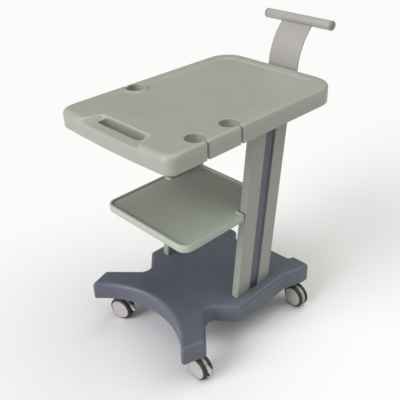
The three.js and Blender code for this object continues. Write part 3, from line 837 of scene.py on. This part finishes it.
def with_keyhole(path, edge, hole):
    """The tray's outline with the piece of one side beside a hole swapped for the keyhole."""
    side = math.copysign(1.0, hole[0])
    bay = side * keyhole(edge, side * hole, SLOT_SLOPE)
    ends = sorted([bay[0, 1], bay[-1, 1]])
    near = np.abs(path[:, 0] - side * edge) < 1e-6
    near &= (path[:, 1] > ends[0] - MM) & (path[:, 1] < ends[1] + MM)
    index = np.flatnonzero(near)
    return np.vstack([path[: index[0]], bay, path[index[-1] + 1 :]]), bay


def rectangle(half, front, back, radii):
    """Corners from -half to half in x, with one radius at the front and one at the back."""
    first, last = radii
    return [(-half, front, first), (half, front, first), (half, back, last), (-half, back, last)]


class TROLLEY_OT_tray(Operator):
    """Builds the moulded top tray with its probe holders and hand scoop"""

    bl_idname = "trolley.build_tray"
    bl_label = "Tray"

    def execute(self, context):
        s = context.scene.trolley.tray
        half, back, rim = TRAY_HIGH[0], TRAY_HIGH[1], TRAY_HIGH[2]
        front, rear = TRAY_CORNER
        nose = bow(half, TRAY_LOW[1] + TRAY_BOW, -TRAY_BOW, 2 * half / 14)
        corners = [(x, y, front if abs(x) > half - MM else 0.0) for x, y in nose]
        corners += [(half, back, rear), (-half, back, rear)]
        plain = path_through(corners, 3 * MM)
        outline, bays = plain, []
        for name in HOLDERS:
            outline, bay = with_keyhole(outline, half, box_middle(name))
            bays.append(bay)
        grip = path_through(rectangle(**GRIP))
        grip_area = offset(grip, -SHADE_REACH)
        grip = grip[::-1]
        hollow = path_through(rectangle(**RECESS))
        scoop = path_through(SCOOP_RIGHT + mirror(SCOOP_RIGHT), 4 * MM)
        holes = np.array([box_middle(name) for name in HOLDERS])

        def top(xy):
            """Rim height, less the outer round, the recess, the scoop and the hole edges."""
            scooped = smooth(depth_in(xy, scoop) / s.scoop_step)
            floor = smooth(depth_in(xy, hollow) / s.step + 0.5)
            floor *= smooth((RECESS["half"] - xy[:, 0]) / s.ramp)
            floor *= smooth((xy[:, 1] - RECESS["front"]) / (FRONT_RAMP * s.ramp))
            reach = np.linalg.norm(xy - holes[0], axis=1)
            floor *= smooth((reach - HOLE_LAND) / s.step + 0.5)
            bold = s.edge + (s.front_edge - s.edge) * smooth((-xy[:, 1] - NOSE_START) / NOSE_BLEND)
            bold += (s.scoop_edge - bold) * scooped
            outer = rounding(distance_to(xy, [plain]), bold)
            gap = np.minimum(distance_to(xy, bays, closed=False), distance_to(xy, [grip]))
            edge = rounding(gap, s.hole_edge)
            return rim - outer - s.recess * floor - s.scoop * scooped - edge

        features = [offset(hollow, t * s.step) for t in (-0.5, -0.25, 0.0, 0.25, 0.5)]
        features += [offset(scoop, t * s.scoop_step) for t in (0.0, 0.15, 0.3, 0.5, 0.75, 1.0)]
        for t in (-0.5, 0.0, 0.5):
            features.append(arc(holes[0], HOLE_LAND + t * s.step, 0.0, 2 * math.pi)[:-1])
        rings = np.array([0.3, 0.9, 1.8, 3.0, 4.6, 6.8, 10.0, 13.0, 16.0]) * MM
        heights = (TRAY_LOW[2], rim - TRAY_CEILING)
        tray = moulded_shell(
            "tray_moulding", [outline, grip], [], top, heights, (s.wall, s.lip), rings,
            s.spacing, features,
        )
        # Painted highlight strength: half along the outer top edge and full on the scoop's ridge,
        # upper part only.
        point = coordinates(tray)
        outer = np.exp(-((distance_to(point[:, :2], [plain]) / (7 * MM)) ** 2))
        ridge = np.exp(-((np.abs(depth_in(point[:, :2], scoop) - MM) / (3.5 * MM)) ** 2))
        upper = smooth((point[:, 2] - TRAY_LOW[2] - 25 * MM) / (20 * MM))
        mark(tray, "edge", np.maximum(outer * 0.5, ridge) * upper)
        # Painted shade inside the hand grip: points more than 3 mm below the rim and within the
        # grip.
        well = smooth((rim - 3 * MM - point[:, 2]) / (5 * MM))
        mark(tray, "soil", well * inside(point[:, :2], [grip_area]))
        fit_out(tray, ROOT, "tray_plastic", "tray_top")
        return {"FINISHED"}


# ---------------------------------------------------------------- shelf

SHELF_STEP = (-59.5 * MM, 143 * MM)
SHELF_RADII = (30 * MM, 10 * MM, 8 * MM)
SHELF_CEILING = 9 * MM


class TROLLEY_OT_shelf(Operator):
    """Builds the moulded shelf that is notched round the columns"""

    bl_idname = "trolley.build_shelf"
    bl_label = "Shelf"

    def execute(self, context):
        s = context.scene.trolley.shelf
        half, rim = SHELF_HIGH[0], SHELF_HIGH[2]
        step, tongue = SHELF_STEP
        front, side, rear = SHELF_RADII
        right = [
            (half, SHELF_LOW[1], front),
            (half, step, side),
            (tongue, step, 2 * MM),
            (tongue, SHELF_HIGH[1], rear),
        ]
        outline = path_through(right + mirror(right), 4 * MM)
        inner = offset(outline, s.rim)
        inner = inner[distance_to(inner, [outline]) > 0.98 * s.rim]

        def top(xy):
            """Rim height, less the outer round, and the floor more than a rim inside it."""
            gap = distance_to(xy, [outline])
            floor = smooth((gap - s.rim) / s.step + 0.5)
            return rim - rounding(gap, s.edge) - s.recess * floor

        features = [offset(inner, t * s.step) for t in (-0.5, -0.2, 0.0, 0.2, 0.5)]
        rings = np.array([0.3, 0.9, 1.8, 3.0, 4.2]) * MM
        heights = (SHELF_LOW[2], rim - SHELF_CEILING)
        shelf = moulded_shell(
            "shelf_moulding", [outline], [], top, heights, (s.wall, s.lip), rings,
            s.spacing, features,
        )
        # Painted highlight strength along the outer top edge.
        point = coordinates(shelf)
        outer = np.exp(-((distance_to(point[:, :2], [outline]) / (5 * MM)) ** 2))
        mark(shelf, "edge", outer * smooth((point[:, 2] - SHELF_LOW[2]) / (15 * MM)))
        fit_out(shelf, ROOT, "shelf_plastic", "shelf_tray")
        return {"FINISHED"}


# ---------------------------------------------------------------- base

BASE_ARC = (206 * MM, -358 * MM, 97 * MM)
BASE_TOE = 8 * MM
BASE_RIGHT = [
    (0.230, -0.282, 0.010),
    (0.124, -0.182, 0.030),
    (0.202, -0.112, 0.010),
    (0.199, 0.098, 0.040),
    (0.219, 0.158, 0.060),
    (0.220, 0.196, 0.014),
    (0.153, 0.195, 0.008),
    (0.149, 0.177, 0.008),
    (0.079, 0.174, 0.018),
    (0.057, 0.143, 0.020),
]


class TROLLEY_OT_base(Operator):
    """Builds the four-legged base cover"""

    bl_idname = "trolley.build_base"
    bl_label = "Base cover"

    def execute(self, context):
        s = context.scene.trolley.base
        deck = BASE_HIGH[2]
        half, chord, rise = BASE_ARC
        arch = bow(half, chord, rise, 10 * MM)
        corners = [(x, y, BASE_TOE if abs(x) > half - MM else 0.0) for x, y in arch]
        outline = path_through(corners + BASE_RIGHT + mirror(BASE_RIGHT), 4 * MM)
        cuts = []
        for side in ("left", "right"):
            first, last = low(f"column_{side}_front"), high(f"column_{side}_rear")
            lean = column_lean(side)
            y0 = first[1] + lean * (deck - first[2])
            y1 = last[1] - lean * (last[2] - deck)
            x0, x1 = first[0] - s.gap, last[0] + s.gap
            y0, y1 = y0 - s.gap, y1 + s.gap
            cut = [(x0, y0, MM), (x1, y0, MM), (x1, y1, MM), (x0, y1, MM)]
            cuts.append(path_through(cut)[::-1])

        def top(xy):
            """Deck height less the outer round."""
            return deck - rounding(distance_to(xy, [outline]), s.edge)

        rings = np.array([0.3, 0.9, 1.8, 3.2, 5.2, 7.4, 9.6, 12.0]) * MM
        heights = (BASE_LOW[2], deck - s.wall)
        base = moulded_shell(
            "base_moulding", [outline], cuts, top, heights, (s.wall, s.lip), rings, s.spacing
        )
        # Painted highlight strength along the outer top edge.
        point = coordinates(base)
        outer = np.exp(-((distance_to(point[:, :2], [outline]) / (6 * MM)) ** 2))
        mark(base, "edge", outer * smooth((point[:, 2] - deck + 25 * MM) / (20 * MM)))
        fit_out(base, ROOT, "base_plastic", "base_cover")
        return {"FINISHED"}


# ---------------------------------------------------------------- columns


def column_lean(side):
    """How far a column moves back for each metre up: two ends of the core strip's box."""
    strip = coordinates(frame["nodes"][f"column_{side}_core"])
    bottom = strip[strip[:, 2] < strip[:, 2].min() + MM]
    top = strip[strip[:, 2] > strip[:, 2].max() - MM]
    return (top[:, 1].min() - bottom[:, 1].min()) / (top[:, 2].max() - bottom[:, 2].min())


def leaning_profile(name, section, bottom, height, lean):
    """A section in plan carried up a leaning line: y grows by lean for each metre of z."""
    rise = np.linspace(0.0, height, 9)[::-1]
    rows = np.array([lift(section + (0.0, lean * z), bottom + z) for z in rise])
    surfaces = [skin(rows)]
    for z, facing in ((0.0, -1), (height, 1)):
        flat, faces = triangles([section + (0.0, lean * z)], NO_POINTS)
        surfaces.append((lift(flat, bottom + z), faces[:, ::facing]))
    return mesh_object(name, surfaces)


class TROLLEY_OT_columns(Operator):
    """Builds the leaning columns: a front and a rear profile with a recessed strip between"""

    bl_idname = "trolley.build_columns"
    bl_label = "Columns"

    def execute(self, context):
        s = context.scene.trolley.column
        for side in ("left", "right"):
            lean = column_lean(side)
            for part, slot, radii in (
                ("front", "column_paint", (s.edge, s.seam)),
                ("core", "core_paint", (s.seam, s.seam)),
                ("rear", "column_paint", (s.seam, s.edge)),
            ):
                node = f"column_{side}_{part}"
                first, last = low(node), high(node)
                height = last[2] - first[2]
                back = last[1] - lean * height
                front_radius, rear_radius = radii
                section = path_through(
                    [
                        (first[0], first[1], front_radius),
                        (last[0], first[1], front_radius),
                        (last[0], back, rear_radius),
                        (first[0], back, rear_radius),
                    ]
                )
                profile = leaning_profile(f"{node}_profile", section, first[2], height, lean)
                fit_out(profile, ROOT, slot, node)
        return {"FINISHED"}


# ---------------------------------------------------------------- handle

STRIP_HALF = 2.5 * MM
STRIP_BEND = 20 * MM
STRIP_ARC = 175 * MM
STRIP_ARC_START = 0.720
STRIP_ANGLE = math.radians(47.8)
STRIP_LINE = 0.292
CAP_DEPTH = 7.7 * MM


def along_x(points):
    """Turns an axis along Z to lie along X."""
    return points[:, [2, 0, 1]]


class TROLLEY_OT_handle(Operator):
    """Builds the push handle: a bent strip, a cross bar and its end caps"""

    bl_idname = "trolley.build_handle"
    bl_label = "Handle"

    def execute(self, context):
        s = context.scene.trolley.handle
        first, last = low("handle_plate"), high("handle_plate")
        half = last[0]
        run = first[2] + STRIP_HALF
        bend_centre = (STRIP_LINE - STRIP_BEND, run + STRIP_BEND)
        level = np.column_stack([np.linspace(first[1], bend_centre[0], 12), np.full(12, run)])
        bend = arc(bend_centre, STRIP_BEND, -math.pi / 2, math.pi / 2)
        rise = np.column_stack(
            [np.full(4, STRIP_LINE), np.linspace(bend_centre[1], STRIP_ARC_START, 4)]
        )
        sweep = arc(
            (STRIP_LINE + STRIP_ARC, STRIP_ARC_START), STRIP_ARC, math.pi, -STRIP_ANGLE,
            math.radians(2),
        )
        path = np.vstack([level[:-1], bend, rise[1:-1], sweep])
        tangent = np.gradient(path, axis=0)
        tangent /= np.linalg.norm(tangent, axis=1)[:, None]
        across = np.column_stack([-tangent[:, 1], tangent[:, 0]])
        edges = (s.strip_edge, s.strip_edge)
        section = path_through(rectangle(half, -STRIP_HALF, STRIP_HALF, edges), 10 * MM)
        rows = np.stack(
            [
                np.broadcast_to(section[:, 0], (len(path), len(section))),
                path[:, :1] + across[:, :1] * section[:, 1],
                path[:, 1:] + across[:, 1:] * section[:, 1],
            ],
            axis=2,
        )
        points, faces = skin(rows)
        ends = []
        flat, caps = triangles([section], NO_POINTS)
        for index, facing in ((0, 1), (len(path) - 1, -1)):
            place = path[index] + across[index] * flat[:, 1:]
            ends.append((np.column_stack([flat[:, 0], place]), caps[:, ::facing]))
        strip = mesh_object("handle_strip", [(points, faces), *ends])
        bm = bmesh.new()
        bm.from_mesh(strip.data)
        bmesh.ops.recalc_face_normals(bm, faces=bm.faces)
        bm.to_mesh(strip.data)
        bm.free()
        fit_out(strip, ROOT, "handle_paint", "handle_plate")

        first, last = low("handle_bar"), high("handle_bar")
        centre = (first + last) / 2
        radius = (last[2] - first[2]) / 2
        reach = (last[0] - first[0]) / 2

        def at_bar(points):
            return along_x(points) + (0.0, centre[1], centre[2])

        bar = fillet(
            [
                (0.0, -reach, 0.0),
                (radius, -reach, 0.8 * MM),
                (radius, 0.0, 0.0),
                (radius, reach, 0.8 * MM),
                (0.0, reach, 0.0),
            ]
        )
        piece = mesh_object("handle_rod", [lathe(bar, 64, at_bar)])
        fit_out(piece, ROOT, "handle_paint", "handle_bar")
        for side, sign in (("left", -1), ("right", 1)):
            edge = high(f"handle_cap_{side}")[0] if sign > 0 else -low(f"handle_cap_{side}")[0]
            cap = fillet(
                [
                    (0.0, edge - CAP_DEPTH, 0.0),
                    (radius, edge - CAP_DEPTH, 0.4 * MM),
                    (radius, edge - s.crown, s.crown * 0.4),
                    (radius - s.crown, edge, s.crown * 0.8),
                    (0.0, edge, 0.0),
                ]
            )

            def at_end(points, sign=sign):
                turned = along_x(points) * (sign, sign, 1.0)
                return turned + (0.0, centre[1], centre[2])

            piece = mesh_object(f"handle_end_{side}", [lathe(cap, 64, at_end)])
            fit_out(piece, ROOT, "cap_plastic", f"handle_cap_{side}")
        return {"FINISHED"}


# ---------------------------------------------------------------- casters

WHEEL_RADIUS = 37.5 * MM
FENDER_RADIUS = 36 * MM
FENDER_HALF = 5.5 * MM
FENDER_LOWEST = 26 * MM
PEDAL_PIVOT = (44 * MM, 54 * MM)
PEDAL_RADIUS = 6 * MM
PEDAL_HALF = 5.3 * MM


def caster_place(name):
    """A function that puts local caster points in space: local x trails behind the stem,
    local y is the axle's direction and local z is up."""
    stem = np.array(JOINTS[f"swivel_{name}"]["pos_m"])
    axle = np.array(JOINTS[f"roll_{name}_a"]["axis"])
    trail = np.array([axle[1], -axle[0], 0.0])

    def to_space(points):
        x, y, z = points.T
        flat = x[:, None] * trail + y[:, None] * axle
        return flat + (stem[0], stem[1], 0.0) + z[:, None] * (0.0, 0.0, 1.0)

    return to_space


def trail_of(name):
    """How far the wheels' axis lies behind the stem, in plan."""
    stem = np.array(JOINTS[f"swivel_{name}"]["pos_m"])[:2]
    hub = np.array(JOINTS[f"roll_{name}_a"]["pos_m"])[:2]
    return float(np.linalg.norm(hub - stem))


def wheel_space(name, side):
    """Local wheel points, axis along z with the outer face up, to space."""
    place, trail = caster_place(name), trail_of(name)
    sign = -1.0 if side == "a" else 1.0

    def to_space(points):
        x, y, z = points.T
        return place(np.column_stack([trail + sign * x, sign * z, WHEEL_RADIUS + y]))

    return to_space


def tyre_profile(shoulder):
    """Closed section of a tyre: a flat bore, flat sides and rounded shoulders."""
    inner, near, far = 29 * MM, 6 * MM, 17.2 * MM
    outer = WHEEL_RADIUS - 0.05 * MM
    profile = fillet(
        [
            (inner, near, 0.0),
            (outer - 1.5 * MM, near, 1.2 * MM),
            (outer, near + 3 * MM, 2 * MM),
            (outer, (near + far) / 2, 0.0),
            (outer, far - 0.6 * shoulder, shoulder * 0.5),
            (outer - 0.9 * shoulder, far, shoulder * 0.5),
            (inner, far, 0.0),
        ]
    )
    return np.vstack([profile, profile[:1]])


def hub_profile():
    """Section of a wheel disc: a hidden boss, a flange over the tyre's side, a shallow ring
    groove and a slightly raised centre cap."""
    return fillet(
        [
            (4.3 * MM, 6.3 * MM, 0.0),
            (28.7 * MM, 6.3 * MM, 0.6 * MM),
            (28.7 * MM, 17.5 * MM, 0.0),
            (30.8 * MM, 17.5 * MM, 0.2 * MM),
            (30.6 * MM, 18.4 * MM, 0.3 * MM),
            (29.4 * MM, 18.9 * MM, 0.6 * MM),
            (28.2 * MM, 18.9 * MM, 0.3 * MM),
            (27.5 * MM, 18.35 * MM, 0.3 * MM),
            (25.5 * MM, 18.35 * MM, 0.6 * MM),
            (12.0 * MM, 18.9 * MM, 6 * MM),
            (10.8 * MM, 18.5 * MM, 0.2 * MM),
            (10.2 * MM, 18.95 * MM, 0.2 * MM),
            (0.0, 19.0 * MM, 0.0),
        ]
    )


def housing_outline(braked):
    """Side view of a caster housing's fender: round the wheels' centre, cut level below and, with a
    brake, notched for the pedal. The neck under the swivel head is a plate of its own."""
    trail = trail_of("fr")
    dip = math.asin((WHEEL_RADIUS - FENDER_LOWEST) / FENDER_RADIUS)
    turn = math.pi + 2 * dip
    points = arc((trail, WHEEL_RADIUS), FENDER_RADIUS, -dip, turn, math.radians(4))
    if braked:
        pivot = np.array(PEDAL_PIVOT)
        room = PEDAL_RADIUS + 0.8 * MM
        behind = (points[:, 0] > pivot[0] - 2 * MM) & (points[:, 1] < pivot[1] + room)
        points = points[~behind]
        notch = arc(pivot, room, math.pi / 2, math.pi * 0.62, math.radians(12))
        foot = np.array([[pivot[0] - 2 * MM, FENDER_LOWEST]])
        points = np.vstack([foot, notch[::-1], points])
    return points


class TROLLEY_OT_casters(Operator):
    """Builds the four twin-wheel casters and the two brake pedals"""

    bl_idname = "trolley.build_casters"
    bl_label = "Casters"

    def execute(self, context):
        s = context.scene.trolley.caster
        rings = np.array([0.4, 0.9, 1.8]) * MM
        for name in CASTERS:
            place = caster_place(name)

            def upright(points, place=place):
                x, z, y = points.T
                return place(np.column_stack([x, -y, z]))

            body = plate(
                housing_outline(name in BRAKED), FENDER_HALF, s.fender_edge, rings, upright
            )
            neck = path_through(
                [
                    (-13 * MM, 58 * MM, 3 * MM),
                    (14 * MM, 58 * MM, 0.0),
                    (14 * MM, 80 * MM, 0.0),
                    (-13 * MM, 80 * MM, 0.0),
                ],
                2 * MM,
            )
            body += plate(neck, FENDER_HALF - 0.1 * MM, 1 * MM, rings[:1], upright)
            head = fillet(
                [
                    (0.0, 76.5 * MM, 0.0),
                    (14 * MM, 76.5 * MM, 1.5 * MM),
                    (15 * MM, 80 * MM, 1.5 * MM),
                    (15 * MM, 88 * MM, 1.2 * MM),
                    (12 * MM, 90 * MM, 1.2 * MM),
                    (6.4 * MM, 90 * MM, 0.0),
                    (6.4 * MM, 84 * MM, 0.0),
                    (0.0, 84 * MM, 0.0),
                ]
            )
            body.append(lathe(head, 48, place))
            housing = mesh_object(f"housing_{name}", body)
            fit_out(housing, f"caster_{name}", "housing_plastic", f"caster_housing_{name}")
            if name in BRAKED:
                pedal = mesh_object(f"pedal_{name}", pedal_surfaces(s.fender_edge, upright))
                fit_out(pedal, f"brake_{name}", "housing_plastic", f"brake_pedal_{name}")
            for side in ("a", "b"):
                space = wheel_space(name, side)
                body_name = f"wheel_{name}_{side}"
                tyre = mesh_object(
                    f"tread_{name}_{side}", [lathe(tyre_profile(s.tread), s.segments, space)]
                )
                fit_out(tyre, body_name, "tyre_rubber", f"tyre_{name}_{side}")
                hub = mesh_object(
                    f"disc_{name}_{side}", [lathe(hub_profile(), s.segments, space)]
                )
                fit_out(hub, body_name, "wheel_plastic", f"hub_{name}_{side}")
        return {"FINISHED"}


def pedal_surfaces(edge, to_space):
    """Side view of a brake pedal: a knuckle round the pivot and a lever that droops back."""
    px, pz = PEDAL_PIVOT
    lever = [
        (px + 2 * MM, pz + 5.6 * MM, 0.0),
        (px - 0.2 * MM, pz + 5.8 * MM, 3 * MM),
        (px - 5.4 * MM, pz + 1.0 * MM, 3 * MM),
        (px - 3.4 * MM, pz - 4.6 * MM, 2.4 * MM),
        (px + 2 * MM, pz - 6.4 * MM, 2 * MM),
        (54 * MM, 42.6 * MM, 3 * MM),
        (65 * MM, 38.2 * MM, 2 * MM),
        (70.3 * MM, 41 * MM, 3 * MM),
        (70.3 * MM, 49 * MM, 4 * MM),
        (64 * MM, 54.3 * MM, 5 * MM),
    ]
    rings = np.array([0.4, 0.9, 1.8]) * MM
    return plate(path_through(lever, 2 * MM), PEDAL_HALF, edge, rings, to_space)


# ---------------------------------------------------------------- steelwork


class TROLLEY_OT_steelwork(Operator):
    """Gives the frame, brackets, stems, axles and screws their finishes"""

    bl_idname = "trolley.build_steelwork"
    bl_label = "Steelwork"

    def execute(self, context):
        for node in ("base_frame", "crossbar_top"):
            paint_node(node, "frame_paint")
        for side in ("left", "right"):
            for stem in ("column_foot", "tray_bracket", "shelf_bracket", "handle_screw"):
                paint_node(f"{stem}_{side}", "steel")
        for name in CASTERS:
            paint_node(f"caster_stem_{name}", "steel")
            paint_node(f"caster_axle_{name}", "steel")
        return {"FINISHED"}


# ---------------------------------------------------------------- stage


FRONT_TINT = (0.98, 0.945, 1.0)
TOP_TINT = (0.98, 1.0, 0.95)
FLOOR_GREY = 0.88
SKY_SEEN = 0.95


class TROLLEY_OT_stage(Operator):
    """Sets the floor, the lights and the camera"""

    bl_idname = "trolley.build_stage"
    bl_label = "Stage"

    def execute(self, context):
        s = context.scene.trolley.stage
        scene = context.scene
        scene.view_settings.view_transform = "Standard"
        self.add_camera(scene, s)
        self.add_floor(s)
        self.add_sky(scene, s)
        self.add_sun(scene, "key", (-0.12, -0.83, 0.545), 40.0, s.key, FRONT_TINT)
        self.add_sun(scene, "low", (-0.05, -0.98, 0.18), 30.0, s.low, FRONT_TINT)
        self.add_sun(scene, "top", (0.22, 0.3, 1.0), 70.0, s.top, TOP_TINT)
        return {"FINISHED"}

    def add_camera(self, scene, s):
        a, e = s.azimuth, s.elevation
        back = Vector((math.sin(a) * math.cos(e), -math.cos(a) * math.cos(e), math.sin(e)))
        right = Vector((math.cos(a), math.sin(a), 0.0))
        up = back.cross(right)
        turned = right * math.cos(s.roll) + up * math.sin(s.roll)
        upright = up * math.cos(s.roll) - right * math.sin(s.roll)
        axes = Matrix((turned, upright, back)).transposed().to_4x4()
        camera = bpy.data.objects.new("camera", bpy.data.cameras.new("camera"))
        camera.data.lens = s.lens
        camera.matrix_world = Matrix.Translation(Vector(s.target) + back * s.distance) @ axes
        scene.collection.objects.link(camera)
        scene.camera = camera

    def add_floor(self, s):
        edge = s.floor
        mesh = bpy.data.meshes.new("floor")
        corners = [(-edge, -edge, 0), (edge, -edge, 0), (edge, edge, 0), (-edge, edge, 0)]
        mesh.from_pydata(corners, [], [(0, 1, 2, 3)])
        floor = bpy.data.objects.new("floor", mesh)
        bpy.context.scene.collection.objects.link(floor)
        pale = bpy.data.materials.new("pale_floor")
        pale.use_nodes = True
        shader = pale.node_tree.nodes["Principled BSDF"]
        shader.inputs["Base Color"].default_value = (FLOOR_GREY, FLOOR_GREY, FLOOR_GREY, 1.0)
        shader.inputs["Roughness"].default_value = 0.85
        mesh.materials.append(pale)
        floor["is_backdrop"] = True

    def add_sky(self, scene, s):
        world = bpy.data.worlds.new("studio")
        world.use_nodes = True
        scene.world = world
        tree = world.node_tree
        light = tree.nodes["Background"]
        light.inputs["Color"].default_value = (0.97, 1.0, 0.98, 1.0)
        seen = tree.nodes.new("ShaderNodeLightPath").outputs["Is Camera Ray"]
        strength = maths(tree, "MULTIPLY", seen, SKY_SEEN - s.sky)
        tree.links.new(maths(tree, "ADD", strength, s.sky), light.inputs["Strength"])

    def add_sun(self, scene, name, towards, spread, power, tint):
        lamp = bpy.data.lights.new(name, "SUN")
        lamp.angle = math.radians(spread)
        lamp.energy = power
        lamp.color = tint
        holder = bpy.data.objects.new(name, lamp)
        holder.matrix_world = Vector(towards).to_track_quat("Z", "Y").to_matrix().to_4x4()
        scene.collection.objects.link(holder)


# ---------------------------------------------------------------- add-on

BUILDERS = (
    TROLLEY_OT_tray,
    TROLLEY_OT_shelf,
    TROLLEY_OT_base,
    TROLLEY_OT_columns,
    TROLLEY_OT_handle,
    TROLLEY_OT_casters,
    TROLLEY_OT_steelwork,
    TROLLEY_OT_stage,
)


class TROLLEY_PT_pieces(Panel):
    bl_idname = "TROLLEY_PT_pieces"
    bl_label = "Ultrasound trolley"
    bl_space_type = "VIEW_3D"
    bl_region_type = "UI"
    bl_category = "Trolley"

    def draw(self, context):
        for builder in BUILDERS:
            self.layout.operator(builder.bl_idname)
        for group in context.scene.trolley.bl_rna.properties:
            if group.type != "POINTER" or group.identifier == "rna_type":
                continue
            settings = getattr(context.scene.trolley, group.identifier)
            box = self.layout.box()
            box.label(text=group.identifier.capitalize())
            for value in settings.bl_rna.properties:
                if value.identifier not in ("rna_type", "name"):
                    box.prop(settings, value.identifier)


CLASSES = (
    TrolleyFinishes,
    TrolleyTray,
    TrolleyShelf,
    TrolleyBase,
    TrolleyColumn,
    TrolleyHandle,
    TrolleyCaster,
    TrolleyStage,
    TrolleySettings,
    *BUILDERS,
    TROLLEY_PT_pieces,
)


def register():
    for item in CLASSES:
        bpy.utils.register_class(item)
    bpy.types.Scene.trolley = PointerProperty(type=TrolleySettings)


def unregister():
    del bpy.types.Scene.trolley
    for item in reversed(CLASSES):
        bpy.utils.unregister_class(item)


def plain(box):
    return [[float(value) for value in corner] for corner in box]


def main():
    register()
    for builder in BUILDERS:
        group, name = builder.bl_idname.split(".")
        getattr(getattr(bpy.ops, group), name)()
    {"cad": plain(CAD_BOX), "visual": plain(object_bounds())}


if __name__ == "__main__":
    main()
